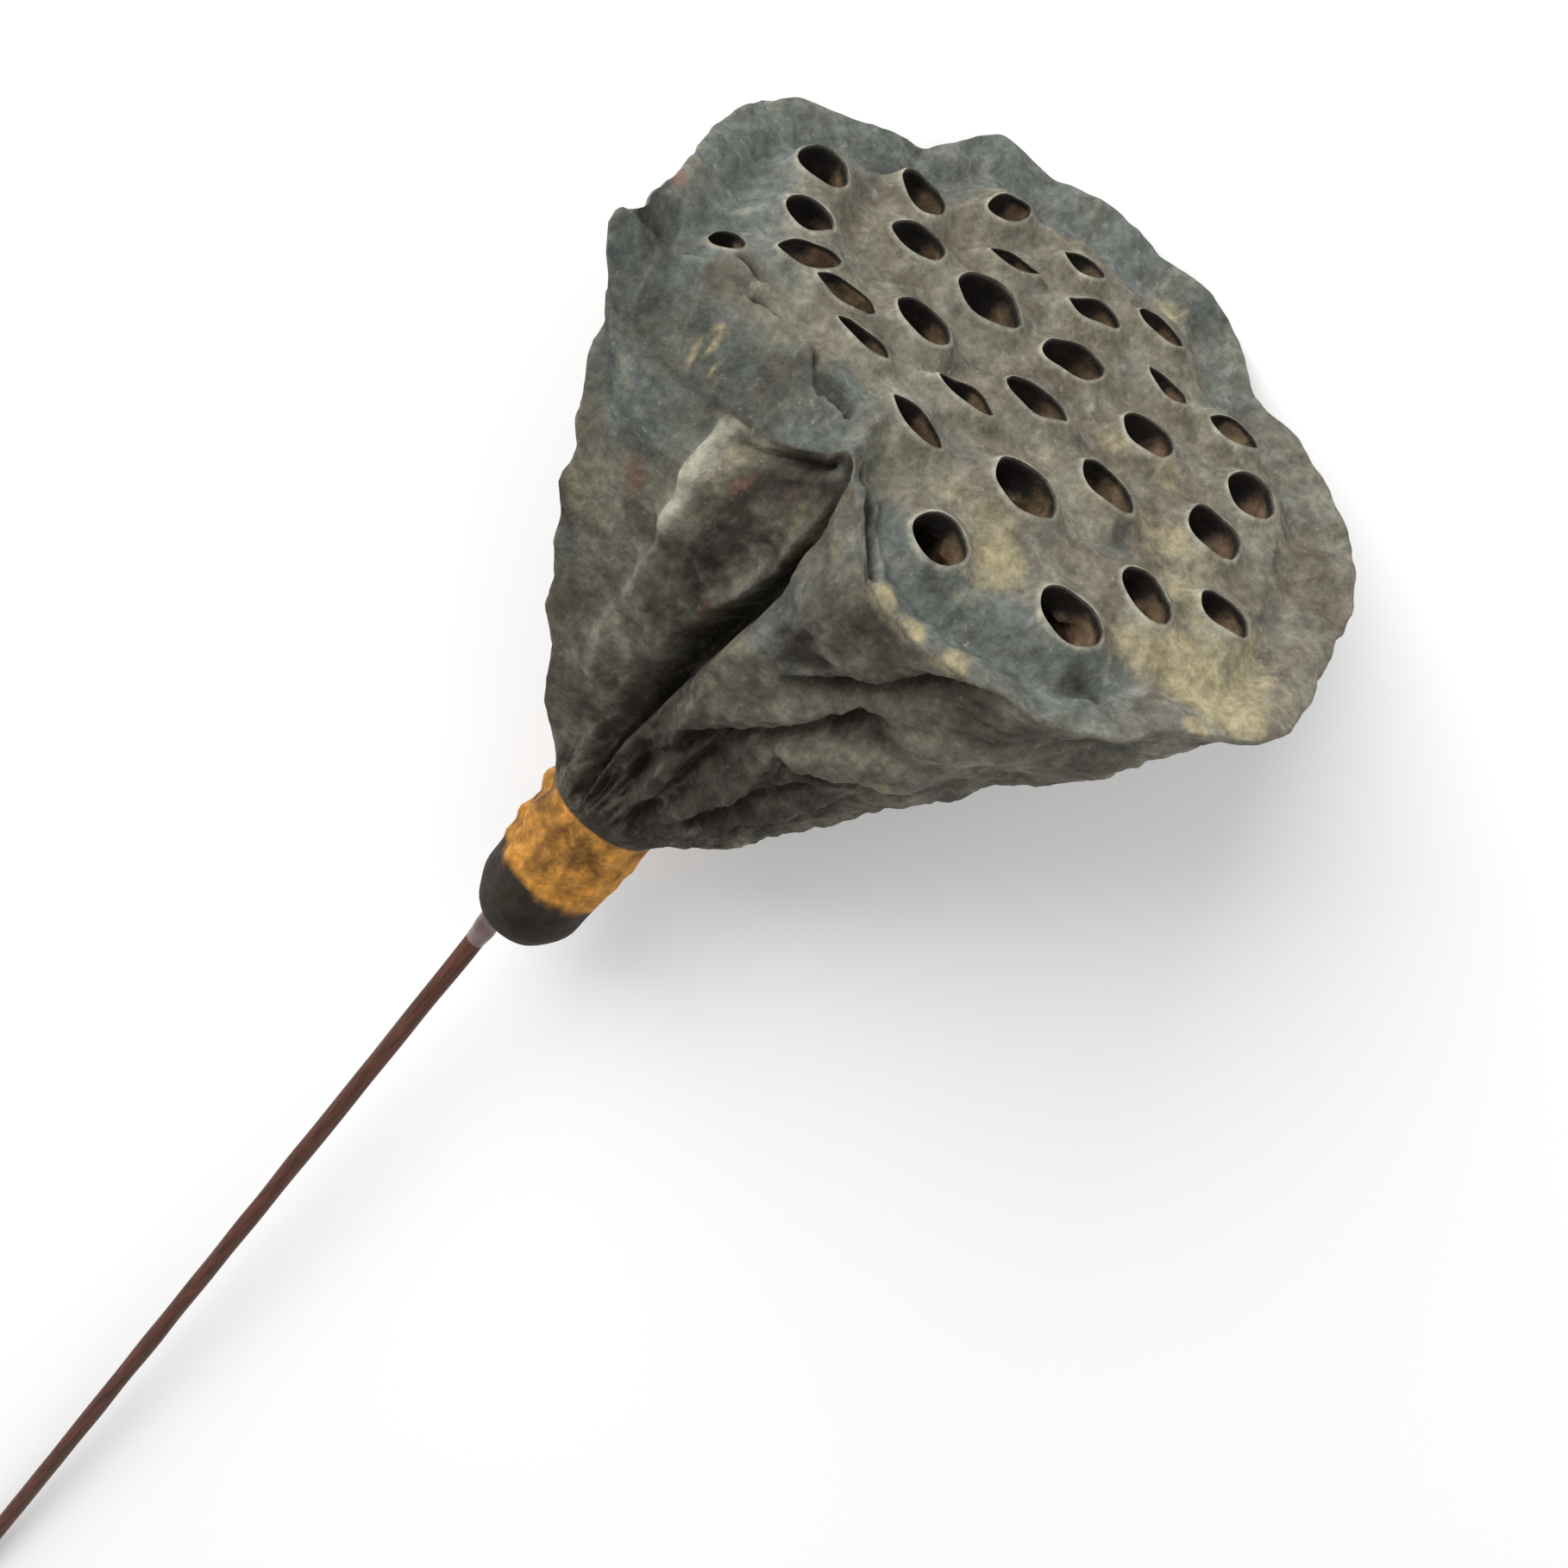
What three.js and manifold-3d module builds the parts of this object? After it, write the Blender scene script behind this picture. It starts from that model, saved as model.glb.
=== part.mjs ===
// A dried lotus pod on a thin stick, lying on its rim and on the end of the stick.
// The pod is drawn in a frame of its own face: x and y in the face, z out of it, millimetres.
// At the end everything is laid down so that +Z is up and +X runs from the stick to the pod.
import * as THREE from 'three';
import { mergeVertices } from 'three/addons/utils/BufferGeometryUtils.js';
import ManifoldModule from 'manifold-3d';

const kernel = await ManifoldModule();
kernel.setup();
const { Manifold, Mesh } = kernel;

// Face: middle of the rim and the way its edge wanders, as angle in degrees, radius, height.
const FACE_X = 0;
const FACE_Y = 6;
const RIM = [
  [3, 39.7, 0], [17, 40.6, 0.3], [30, 40.6, 0.5], [44, 39.1, 0], [51, 38.7, -0.3], [56, 36.8, -0.6],
  [61.5, 36, -0.8], [66, 37.4, -0.4], [72, 38.9, 0], [76.5, 38.3, 0.9], [82, 37, 1.9], [90, 35.9, 1.6],
  [96.5, 36.1, 1.8], [102.5, 36.8, 1.8], [108.5, 37.7, 0.9], [114.5, 38.5, 0], [120, 39.7, 0.4],
  [124.5, 40.2, 0.6], [130, 38.2, 0], [138.5, 35.6, -1], [147, 36.4, -0.5], [158, 37.8, 0],
  [164, 39.7, 0.3], [174, 40.2, 0], [181, 40, 0], [193, 39, 0], [199, 39.3, 0], [204, 40.4, 0],
  [207.5, 40.9, 0.1], [210.3, 42.2, 0.2], [212, 43.6, 0.2], [213.3, 42.9, -2.5], [215.5, 40.2, -6.8],
  [221, 33.4, -9.2], [229, 25.8, -10.2], [240, 24, -7.1], [246, 22.7, -5], [251, 23.2, -2.2],
  [256.5, 23.3, -3.6], [267, 26.4, -4.6], [275.5, 29.3, -6], [285, 30.8, -6.5], [301.5, 33.7, -5],
  [312, 36.9, -3.5], [326.5, 37.8, -1], [339, 41, 0], [349, 40.7, 0],
];
const RIM_STEP = 6; // widest angle between two points of the skin
const FINE_STEP = 3; // and near the valley
const FINE_FROM = 238;
const FINE_TO = 270;
const RIM_THICKNESS = 0.8;
const FACE_CROWN = -0.7;
const FLANGE_GROOVE = 1.6;
const POCKET = { angle: 205, width: 6, depth: 1.8 }; // a hollow in the flange beside the corner
const FOLDED_FROM = 212.5; // between these angles the rim is folded down over the wall
const FOLDED_TO = 250;

// Wall: neck where the pod narrows to its stalk, and the folds that drying has left.
// Each fold: angle at the rim, angle at the neck, place down the wall, reach, half width before and
// after its middle, height.
const NECK = new THREE.Vector3(-5.6, -15.5, -67);
const NECK_RADIUS = 7.6;
const WALL_TILT = 23;
const RIM_FLARE = 3;
const LEFT_FLARE = 3.6;
const FOLD_MERGE = 2.6; // how far the wall swells out under the folded rim to run on from it
const FOLDS = [
  [241, 226, 0.3, 0.28, 14, 16, 6], [270, 256, 0.35, 0.25, 9, 9, 4], [299, 250, 0.22, 0.2, 5, 7, -1.5],
  [319, 249, 0.48, 0.2, 4, 6, -1.5], [190, 200, 0.5, 0.3, 6, 6, -1.5],
  [212, 212, 0.48, 0.22, 13, 10, -1.2], [336, 336, 0.2, 0.12, 14, 14, 1.3],
  [330, 326, 0.84, 0.1, 20, 20, 1.2], [30, 20, 0.4, 0.3, 8, 8, -2.5], [80, 70, 0.45, 0.3, 9, 9, -3],
  [135, 125, 0.4, 0.35, 8, 8, -3],
];

// The deepest valley: place down the wall, angle of its left and of its right edge, depth.
const VALLEY = [
  [0, 251.5, 254.5, 1.5], [0.06, 255.5, 257.6, 2.2], [0.15, 257.3, 260, 3.6], [0.23, 258.5, 263.3, 5.8],
  [0.32, 256, 264.5, 7.5], [0.4, 251.5, 264, 8], [0.5, 245.5, 262.3, 7], [0.65, 243, 257.5, 4],
  [0.8, 243, 252, 1.5], [1, 243, 249, 0],
];

// Seed chambers: mouth x, y, length, width, turn in degrees, and how pointed its ends are.
const MOUTHS = [
  [-15.5, 28.7, 6, 3.4, 63, 0.1], [-5.5, 29.8, 5.2, 2.3, 13, 0.6], [5.1, 31.2, 6.4, 2.1, 15, 0.4],
  [18.3, 26.5, 5.9, 3.8, 4, 0.4], [9.8, 24.8, 5.7, 2.7, -8, 0.7], [-1.2, 25.2, 6.7, 3.3, 30, 0.3],
  [-10.8, 22.3, 6.3, 1.7, 30, 0.8], [-22.4, 19.6, 6.2, 4.9, -14, 0.3], [23.8, 19.3, 6.5, 5.7, -57, 0.1],
  [0.8, 16.5, 7.8, 4.7, 39, 0.1], [11.6, 15.3, 6.4, 5.1, 14, 0.2], [-9.4, 13.8, 7.8, 6.9, 12, 0.12],
  [-18.7, 12.8, 6.5, 4.8, 34, 0.25], [-30.1, 9.8, 6.2, 5.5, -42, 0.1], [23, 10.1, 6.7, 6.1, -29, 0.15],
  [1.1, 6.6, 7.5, 4.1, 16, 0.35], [11.9, 3.9, 7.1, 4.5, -10, 0.35], [-12, 3.2, 6.5, 4.8, 2, 0.3],
  [-27, 3, 5.9, 4.6, 57, 0.1], [28.3, 0.5, 6.1, 4.4, -3, 0.35], [-24.2, -1.4, 6, 2.3, 46, 0.35],
  [-18.6, -2.7, 5.6, 2.1, 16, 0.5], [-4, -0.9, 6.6, 2.3, 12, 0.6], [6.2, -5.4, 7.2, 5.8, -8, 0.1],
  [21.3, -5.1, 6.7, 4.9, -27, 0.2], [-14.4, -5.5, 6.3, 2.7, 0, 0.6], [-5.4, -8.8, 5.9, 2.8, -8, 0.3],
  [-29.5, -8.2, 3.4, 2.7, 33, 0.4], [17.1, -13.4, 7, 5.1, -9, 0.1], [3.6, -15.8, 5.8, 4.1, 2, 0.05],
];
const MOUTH_SEGMENTS = 10;
const MOUTH_UNEVEN = 0.03;
const LIP_HEIGHT = 0.7;
const LIP_WIDTH = 0.5;
const LIP_FOOT = 1.3;
const PIT_DEPTH = 1.5;
const PIT_DEPTH_PER_WIDTH = 1.75;
const PIT_FOCUS = new THREE.Vector3(-3, -6, -60); // the chambers lean together towards the stalk

// Stalk end, the hole in it, the stick and the glue round the stick.
const STALK_AXIS = new THREE.Vector3(-0.01, 0.425, 0.905).normalize();
const STALK_LENGTH = 21.5;
const STALK_TAPER = 0.6;
const STALK_ROUNDING = 2.2;
const STICK_AXIS = new THREE.Vector3(-0.024, 0.431, 0.902).normalize();
const STICK_RADIUS = 1.3;
const STICK_SEGMENTS = 12;
const STICK_SHOWN = 180;
const STICK_SUNK = 14.5;
const STICK_OFFSET = new THREE.Vector3(-1.9, 0, 0);
const GAP = 0.3;
const GLUE_LENGTH = 6;
const GLUE_RADIUS = 2.6;
const GLUE_END_RADIUS = 1.9;

// The two places of the rim that lie on the floor; the third is the end of the stick.
const LOW_RIM = [72, 114.5];

const smooth = (from, to, x) => THREE.MathUtils.smoothstep(x, from, to);

function turnBetween(a, b) {
  return THREE.MathUtils.euclideanModulo(a - b + 180, 360) - 180;
}

function bell(x, width) {
  return Math.exp(-((x / width) ** 2));
}

// Radius and height of the rim at any angle: a smooth curve through the listed points.
function rimAt(angle) {
  const count = RIM.length;
  const a = THREE.MathUtils.euclideanModulo(angle, 360);
  let next = RIM.findIndex((point) => point[0] > a);
  if (next < 0) next = count;
  const entry = (i) => {
    const [at, radius, height] = RIM[THREE.MathUtils.euclideanModulo(i, count)];
    return [at + 360 * Math.floor(i / count), radius, height];
  };
  const [p0, p1, p2, p3] = [entry(next - 2), entry(next - 1), entry(next), entry(next + 1)];
  const span = p2[0] - p1[0];
  const u = (a - p1[0]) / span;
  const blend = (k) => {
    const leave = ((p2[k] - p0[k]) / (p2[0] - p0[0])) * span;
    const arrive = ((p3[k] - p1[k]) / (p3[0] - p1[0])) * span;
    const rise = -2 * u ** 3 + 3 * u ** 2;
    return (1 - rise) * p1[k] + rise * p2[k] + (u ** 3 - 2 * u ** 2 + u) * leave + (u ** 3 - u ** 2) * arrive;
  };
  return { radius: blend(1), height: blend(2) };
}

function foldedAt(angle) {
  const a = THREE.MathUtils.euclideanModulo(angle, 360);
  return smooth(FOLDED_FROM - 2.5, FOLDED_FROM + 3, a) * (1 - smooth(FOLDED_TO - 4, FOLDED_TO + 4, a));
}

// The face from its middle (share 0) to the rim (share 1).
function facePoint(angle, share) {
  const { radius, height } = rimAt(angle);
  const folded = foldedAt(angle);
  const foldLine = 0.7 + 0.15 * smooth(214, 232, THREE.MathUtils.euclideanModulo(angle, 360));
  const foldDrop = Math.max(0, (share - foldLine) / (1 - foldLine)) ** 1.35;
  const drop = (1 - folded) * smooth(0.35, 1, share) ** 1.2 + folded * foldDrop;
  const pocket = bell(share - 0.9, 0.06) * bell(turnBetween(angle, POCKET.angle), POCKET.width);
  const groove = FLANGE_GROOVE * bell(share - 0.86, 0.06) * (1 - folded) + POCKET.depth * pocket;
  const phi = THREE.MathUtils.degToRad(angle);
  return new THREE.Vector3(
    FACE_X + share * radius * Math.cos(phi),
    FACE_Y + share * radius * Math.sin(phi),
    height * drop + FACE_CROWN * (1 - share ** 2) - groove,
  );
}

// Big folds: across each a bell with a width of its own on either side.
function foldsAt(angle, down) {
  let height = 0;
  for (const [atRim, atNeck, place, reach, before, after, rise] of FOLDS) {
    const off = turnBetween(angle, atRim + (atNeck - atRim) * down);
    const along = bell(down - place, reach) * Math.min(1, down / 0.06) * (1 - down ** 6);
    height += rise * bell(off, off < 0 ? before : after) * along;
  }
  return height;
}

// The valley falls steeply from its left edge and rises more gently to its right edge.
function valleyAt(angle, down) {
  const a = THREE.MathUtils.euclideanModulo(angle, 360);
  const next = Math.max(1, VALLEY.findIndex((row) => row[0] >= down));
  const share = (down - VALLEY[next - 1][0]) / (VALLEY[next][0] - VALLEY[next - 1][0]);
  const [, left, right, depth] = VALLEY[next].map((value, k) => (
    THREE.MathUtils.lerp(VALLEY[next - 1][k], value, share)
  ));
  const riseFrom = right - 0.55 * (right - left);
  return depth * smooth(left - 0.8, left + 1.8, a) * (1 - smooth(riseFrom, right + 1, a));
}

// The wall from under the rim (down 0) to the neck (down 1).
function wallPoint(angle, down) {
  const { radius, height } = rimAt(angle);
  const a = THREE.MathUtils.euclideanModulo(angle, 360);
  const left = bell(turnBetween(angle, 190), 50);
  const swell = 1 - down ** (1.2 + 0.5 * left);
  const near = smooth(248, 258, a) * (1 - smooth(300, 320, a));
  const flush = (0.4 * smooth(204, 213, a) + 0.4 * smooth(213, 222, a)) * (1 - smooth(232, 243, a));
  const hug = 1 - flush * (1 - smooth(0.04, 0.35, down));
  const flare = (RIM_FLARE + LEFT_FLARE * left) * hug * (1 - 0.65 * near);
  const merge = smooth(213, 221, a) * (1 - smooth(229, 238, a));
  let r = NECK_RADIUS + (radius - NECK_RADIUS) * swell;
  r -= flare * (1 - Math.exp(-down / 0.05)) * (1 - down) ** 1.3;
  r += FOLD_MERGE * merge * (1 - Math.exp(-down / 0.05)) * (1 - smooth(0.1, 0.45, down));
  r += foldsAt(angle, down) - valleyAt(angle, down);
  const phi = THREE.MathUtils.degToRad(angle);
  const tilt = THREE.MathUtils.degToRad(WALL_TILT * down);
  return new THREE.Vector3(
    FACE_X + (NECK.x - FACE_X) * down + r * Math.cos(phi),
    FACE_Y + (NECK.y - FACE_Y) * down + r * Math.sin(phi) * Math.cos(tilt),
    NECK.z * down - r * Math.sin(phi) * Math.sin(tilt) + (height - RIM_THICKNESS) * (1 - down) ** 2,
  );
}

// The stalk stub from the neck (share 0) to its rounded cut end (share 1).
function stalkPoint(angle, share) {
  const sideways = new THREE.Vector3(1, 0, 0).projectOnPlane(STALK_AXIS).normalize();
  const upward = new THREE.Vector3().crossVectors(STALK_AXIS, sideways);
  const round = STALK_ROUNDING * Math.max(0, (share - 0.75) / 0.25) ** 2;
  const r = NECK_RADIUS - STALK_TAPER * share - round;
  const phi = THREE.MathUtils.degToRad(angle);
  return NECK.clone()
    .addScaledVector(STALK_AXIS, -STALK_LENGTH * share)
    .addScaledVector(sideways, r * Math.cos(phi))
    .addScaledVector(upward, r * Math.sin(phi));
}

// A closed skin over rings of equal count, running downwards, with a point at each end.
function skin(first, rings, last) {
  const count = rings[0].length;
  const points = [first, ...rings.flat(), last];
  const index = [];
  for (let k = 0; k < count; k += 1) {
    const n = (k + 1) % count;
    index.push(0, 1 + k, 1 + n);
    for (let ring = 0; ring + 1 < rings.length; ring += 1) {
      const a = 1 + ring * count;
      index.push(a + k, a + count + k, a + n);
      index.push(a + n, a + count + k, a + count + n);
    }
    const b = 1 + (rings.length - 1) * count;
    index.push(b + k, points.length - 1, b + n);
  }
  const geometry = new THREE.BufferGeometry().setFromPoints(points);
  geometry.setIndex(index);
  return geometry;
}

function toSolid(geometry) {
  const bare = new THREE.BufferGeometry();
  bare.setAttribute('position', geometry.getAttribute('position'));
  if (geometry.index) bare.setIndex(geometry.index);
  const welded = mergeVertices(bare, 1e-5);
  return new Manifold(new Mesh({
    numProp: 3,
    vertProperties: new Float32Array(welded.getAttribute('position').array),
    triVerts: new Uint32Array(welded.index.array),
  }));
}

function toGeometry(solid) {
  const mesh = solid.getMesh();
  const geometry = new THREE.BufferGeometry();
  geometry.setAttribute('position', new THREE.BufferAttribute(new Float32Array(mesh.vertProperties), 3));
  geometry.setIndex(new THREE.BufferAttribute(new Uint32Array(mesh.triVerts), 1));
  geometry.computeVertexNormals();
  return geometry;
}

// The face point above a place in the face plane.
function faceUnder(x, y) {
  const angle = THREE.MathUtils.radToDeg(Math.atan2(y - FACE_Y, x - FACE_X));
  const share = Math.hypot(x - FACE_X, y - FACE_Y) / rimAt(angle).radius;
  return facePoint(angle, share);
}

// One ring of a mouth: its outline let out by `grow`, at a height over the face, moved by `lean`.
function mouthRing(mouth, number, grow, height, lean) {
  const [x, y, length, width, turn, point] = mouth;
  const middle = faceUnder(x, y);
  const reach = 1.5;
  const alongX = faceUnder(x + reach, y).sub(faceUnder(x - reach, y)).normalize();
  const alongY = faceUnder(x, y + reach).sub(faceUnder(x, y - reach)).normalize();
  const out = new THREE.Vector3().crossVectors(alongX, alongY).normalize();
  const side = new THREE.Vector3().crossVectors(out, alongX);
  const spin = THREE.MathUtils.degToRad(turn);
  const ring = [];
  for (let k = 0; k < MOUTH_SEGMENTS; k += 1) {
    const w = (k / MOUTH_SEGMENTS) * 2 * Math.PI;
    const flank = Math.abs(Math.sin(w));
    const arcs = 2 / (Math.hypot(flank, 2 * Math.cos(w)) + flank);
    const edge = 1 + point * (arcs - 1) + MOUTH_UNEVEN * Math.cos(3 * w + 2.4 * number);
    const u = (length / 2 + grow) * Math.cos(w) * edge;
    const v = (width / 2 + grow) * Math.sin(w) * edge;
    ring.push(middle.clone()
      .addScaledVector(alongX, u * Math.cos(spin) - v * Math.sin(spin))
      .addScaledVector(side, u * Math.sin(spin) + v * Math.cos(spin))
      .addScaledVector(out, height)
      .add(lean));
  }
  return ring;
}

function middleOf(ring) {
  const sum = ring.reduce((total, point) => total.add(point), new THREE.Vector3());
  return sum.divideScalar(ring.length);
}

// A low mound whose rim becomes the raised lip of the mouth.
function lipSolid(mouth, number) {
  const still = new THREE.Vector3();
  const rings = [
    mouthRing(mouth, number, LIP_WIDTH, LIP_HEIGHT, still),
    mouthRing(mouth, number, LIP_FOOT, -LIP_HEIGHT, still),
  ];
  return toSolid(skin(middleOf(rings[0]), rings, middleOf(rings[1])));
}

// The emptied chamber: straight at its mouth, a little wider below, round at the bottom.
function pitSolid(mouth, number) {
  const [x, y, length, width] = mouth;
  const depth = PIT_DEPTH + PIT_DEPTH_PER_WIDTH * Math.min(length, width);
  const lean = PIT_FOCUS.clone().sub(faceUnder(x, y)).normalize();
  const levels = [[0, 0.2, 2], [0.12, 0, 0], [0.55, 0.2, 0], [0.85, -0.2 * Math.min(length, width), 0]];
  const rings = levels.map(([share, grow, height]) => (
    mouthRing(mouth, number, grow, height, lean.clone().multiplyScalar(depth * share))
  ));
  const bottom = middleOf(rings[1]).addScaledVector(lean, depth * 0.88);
  return toSolid(skin(middleOf(rings[0]), rings, bottom));
}

// A solid of revolution given along an axis, from a base point.
function onAxis(geometry, base, axis) {
  const turn = new THREE.Quaternion().setFromUnitVectors(new THREE.Vector3(0, 1, 0), axis);
  geometry.applyQuaternion(turn);
  geometry.translate(base.x, base.y, base.z);
  return geometry;
}

const angles = [];
for (let i = 0; i < RIM.length; i += 1) {
  const from = RIM[i][0];
  const to = i + 1 < RIM.length ? RIM[i + 1][0] : RIM[0][0] + 360;
  const step = to > FINE_FROM && from < FINE_TO ? FINE_STEP : RIM_STEP;
  const parts = Math.ceil((to - from) / step);
  for (let k = 0; k < parts; k += 1) {
    angles.push(from + ((to - from) * k) / parts);
  }
}

// Pod: face, wall and stalk are one skin; lips are joined on, chambers and stick hole cut out.
const faceShares = [0.35, 0.6, 0.78, 0.87, 0.94, 1];
const wallDowns = [0, 0.03, 0.09, 0.18, 0.28, 0.39, 0.5, 0.62, 0.75, 0.88, 1];
const stalkShares = [0.75, 0.9, 1];
const podRings = [
  ...faceShares.map((share) => angles.map((angle) => facePoint(angle, share))),
  ...wallDowns.map((down) => angles.map((angle) => wallPoint(angle, down))),
  ...stalkShares.map((share) => angles.map((angle) => stalkPoint(angle, share))),
];
const faceMiddle = new THREE.Vector3(FACE_X, FACE_Y, FACE_CROWN);
const stalkEnd = NECK.clone().addScaledVector(STALK_AXIS, -STALK_LENGTH);
const podSkin = toSolid(skin(faceMiddle, podRings, stalkEnd));
const lips = MOUTHS.map((mouth, number) => lipSolid(mouth, number));
const pits = MOUTHS.map((mouth, number) => pitSolid(mouth, number));

const entry = stalkEnd.clone().add(STICK_OFFSET);
const holeDepth = STICK_SUNK + GAP;
const holeLength = holeDepth + 3;
const holeRadius = STICK_RADIUS + GAP;
const holeShape = new THREE.CylinderGeometry(holeRadius, holeRadius, holeLength, STICK_SEGMENTS);
const holeMiddle = entry.clone().addScaledVector(STICK_AXIS, holeDepth - holeLength / 2);
const stickHole = toSolid(onAxis(holeShape, holeMiddle, STICK_AXIS));
const podSolid = Manifold.union([podSkin, ...lips]).subtract(Manifold.union([...pits, stickHole]));

// Stick: a plain round rod from inside the stalk to its free end.
const stickLength = STICK_SHOWN + STICK_SUNK;
const stickMiddle = entry.clone().addScaledVector(STICK_AXIS, STICK_SUNK - stickLength / 2);
const stickGeometry = onAxis(
  new THREE.CylinderGeometry(STICK_RADIUS, STICK_RADIUS, stickLength, STICK_SEGMENTS),
  stickMiddle,
  STICK_AXIS,
);

// Glue: a collar that thins out along the stick, standing just off the stalk end.
const glueBase = entry.clone().addScaledVector(STICK_AXIS, -GLUE_LENGTH - 2 * GAP);
const glueProfile = [
  new THREE.Vector2(0, 0),
  new THREE.Vector2(GLUE_END_RADIUS, 0),
  new THREE.Vector2(GLUE_END_RADIUS + 0.15, GLUE_LENGTH * 0.5),
  new THREE.Vector2(GLUE_RADIUS, GLUE_LENGTH),
  new THREE.Vector2(0, GLUE_LENGTH),
];
const glueBody = toSolid(onAxis(new THREE.LatheGeometry(glueProfile, STICK_SEGMENTS), glueBase, STICK_AXIS));
const glueBore = toSolid(onAxis(
  new THREE.CylinderGeometry(holeRadius, holeRadius, 3 * GLUE_LENGTH, STICK_SEGMENTS),
  glueBase,
  STICK_AXIS,
));
const glueGeometry = toGeometry(glueBody.subtract(glueBore));

// Laying down: the floor passes through two places of the rim and the lowest corner of the stick end.
function lowestStickCorner(up) {
  const corners = stickGeometry.getAttribute('position');
  const towards = up.clone().add(STICK_AXIS);
  const lowest = new THREE.Vector3().fromBufferAttribute(corners, 0);
  for (let i = 1; i < corners.count; i += 1) {
    const corner = new THREE.Vector3().fromBufferAttribute(corners, i);
    if (corner.dot(towards) < lowest.dot(towards)) lowest.copy(corner);
  }
  return lowest;
}

const [lowA, lowB] = LOW_RIM.map((angle) => wallPoint(angle, 0));
const roughUp = new THREE.Vector3(0, -1, 0).projectOnPlane(STICK_AXIS).normalize();
const stickLow = lowestStickCorner(roughUp);
const floorUp = new THREE.Vector3()
  .crossVectors(lowA.clone().sub(stickLow), lowB.clone().sub(stickLow))
  .normalize();
if (floorUp.dot(roughUp) < 0) floorUp.negate();
const floorX = lowA.clone().add(lowB).multiplyScalar(0.5).sub(stickLow).normalize();
const floorY = new THREE.Vector3().crossVectors(floorUp, floorX);
const layDown = new THREE.Matrix4().makeBasis(floorX, floorY, floorUp).transpose();

const group = new THREE.Group();
group.name = 'lotus_pod_on_stick';
const pieces = [
  ['lotus_pod', toGeometry(podSolid), 0x6b6660, 0.85],
  ['stick', stickGeometry, 0x54382a, 0.6],
  ['glue', glueGeometry, 0x8a7f80, 0.4],
];
const box = new THREE.Box3();
for (const [name, geometry, color, roughness] of pieces) {
  geometry.applyMatrix4(layDown);
  geometry.computeBoundingBox();
  box.union(geometry.boundingBox);
  const mesh = new THREE.Mesh(geometry, new THREE.MeshStandardMaterial({ color, roughness, metalness: 0 }));
  mesh.name = name;
  group.add(mesh);
}
const middle = box.getCenter(new THREE.Vector3());
for (const mesh of group.children) {
  mesh.position.set(-middle.x, -middle.y, -box.min.z);
}

export default group;
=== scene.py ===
import bpy
import numpy as np
from mathutils import Matrix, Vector
from mathutils.geometry import delaunay_2d_cdt


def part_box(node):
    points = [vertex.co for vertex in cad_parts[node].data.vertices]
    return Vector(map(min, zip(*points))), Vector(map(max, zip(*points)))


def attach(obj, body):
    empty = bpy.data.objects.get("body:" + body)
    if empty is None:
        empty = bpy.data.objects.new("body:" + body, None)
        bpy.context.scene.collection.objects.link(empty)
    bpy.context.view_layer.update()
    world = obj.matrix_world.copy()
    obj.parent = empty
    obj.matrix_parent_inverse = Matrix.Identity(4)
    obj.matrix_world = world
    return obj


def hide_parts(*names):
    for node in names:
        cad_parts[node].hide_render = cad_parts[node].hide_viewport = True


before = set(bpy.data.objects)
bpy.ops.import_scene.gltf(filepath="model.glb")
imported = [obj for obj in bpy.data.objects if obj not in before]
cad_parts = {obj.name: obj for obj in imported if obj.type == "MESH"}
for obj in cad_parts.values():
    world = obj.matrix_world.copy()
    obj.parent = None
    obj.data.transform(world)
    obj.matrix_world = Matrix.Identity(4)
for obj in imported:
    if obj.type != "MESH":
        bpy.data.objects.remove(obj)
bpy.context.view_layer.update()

# Lotus pod: the dried seed head of a lotus, one grown piece of spongy tissue under a thin leathery skin.
# It is drawn in a frame of its own face, x and y in the face and z out of it, in millimetres.
# The rim wanders as the skin dried, and on one side it has folded down over the wall.
FACE_X, FACE_Y = 0.0, 6.0
RIM = np.array([  # angle in degrees, radius, height
    [3, 39.7, 0], [17, 40.6, 0.3], [30, 40.6, 0.5], [44, 39.1, 0], [51, 38.7, -0.3], [56, 36.8, -0.6],
    [61.5, 36.0, -0.8], [66, 37.4, -0.4], [72, 38.9, 0], [76.5, 38.3, 0.9], [82, 37, 1.9], [90, 35.9, 1.6],
    [96.5, 36.1, 1.8], [102.5, 36.8, 1.8], [108.5, 37.7, 0.9], [114.5, 38.5, 0], [120, 39.7, 0.4],
    [124.5, 40.2, 0.6], [130, 38.2, 0], [138.5, 35.6, -1], [147, 36.4, -0.5], [158, 37.8, 0],
    [164, 39.7, 0.3], [174, 40.2, 0], [181, 40, 0], [193, 39, 0], [199, 39.3, 0], [204, 40.4, 0],
    [207.5, 40.9, 0.1], [210.3, 42.2, 0.2], [212, 43.6, 0.2], [213.3, 42.9, -2.5], [215.5, 40.2, -6.8],
    [221, 33.4, -9.2], [229, 25.8, -10.2], [240, 24, -7.1], [246, 22.7, -5], [251, 23.2, -2.2],
    [256.5, 23.3, -3.6], [267, 26.4, -4.6], [275.5, 29.3, -6], [285, 30.8, -6.5], [301.5, 33.7, -5],
    [312, 36.9, -3.5], [326.5, 37.8, -1], [339, 41, 0], [349, 40.7, 0],
])
RIM_RADIUS = 40.0
RIM_THICKNESS = 0.8
RAGGED, FINE_RAGGED = 0.14, 0.06
FOLDED_FROM, FOLDED_TO = 212.5, 250.0


def bell(x, width):
    """Bell curve of height one: e to the minus square of x over the width."""
    return np.exp(-(x / width) ** 2)


def ease(start, end, x):
    """Smooth step from nought at start to one at end."""
    t = np.clip((x - start) / (end - start), 0.0, 1.0)
    return t * t * (3.0 - 2.0 * t)


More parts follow.
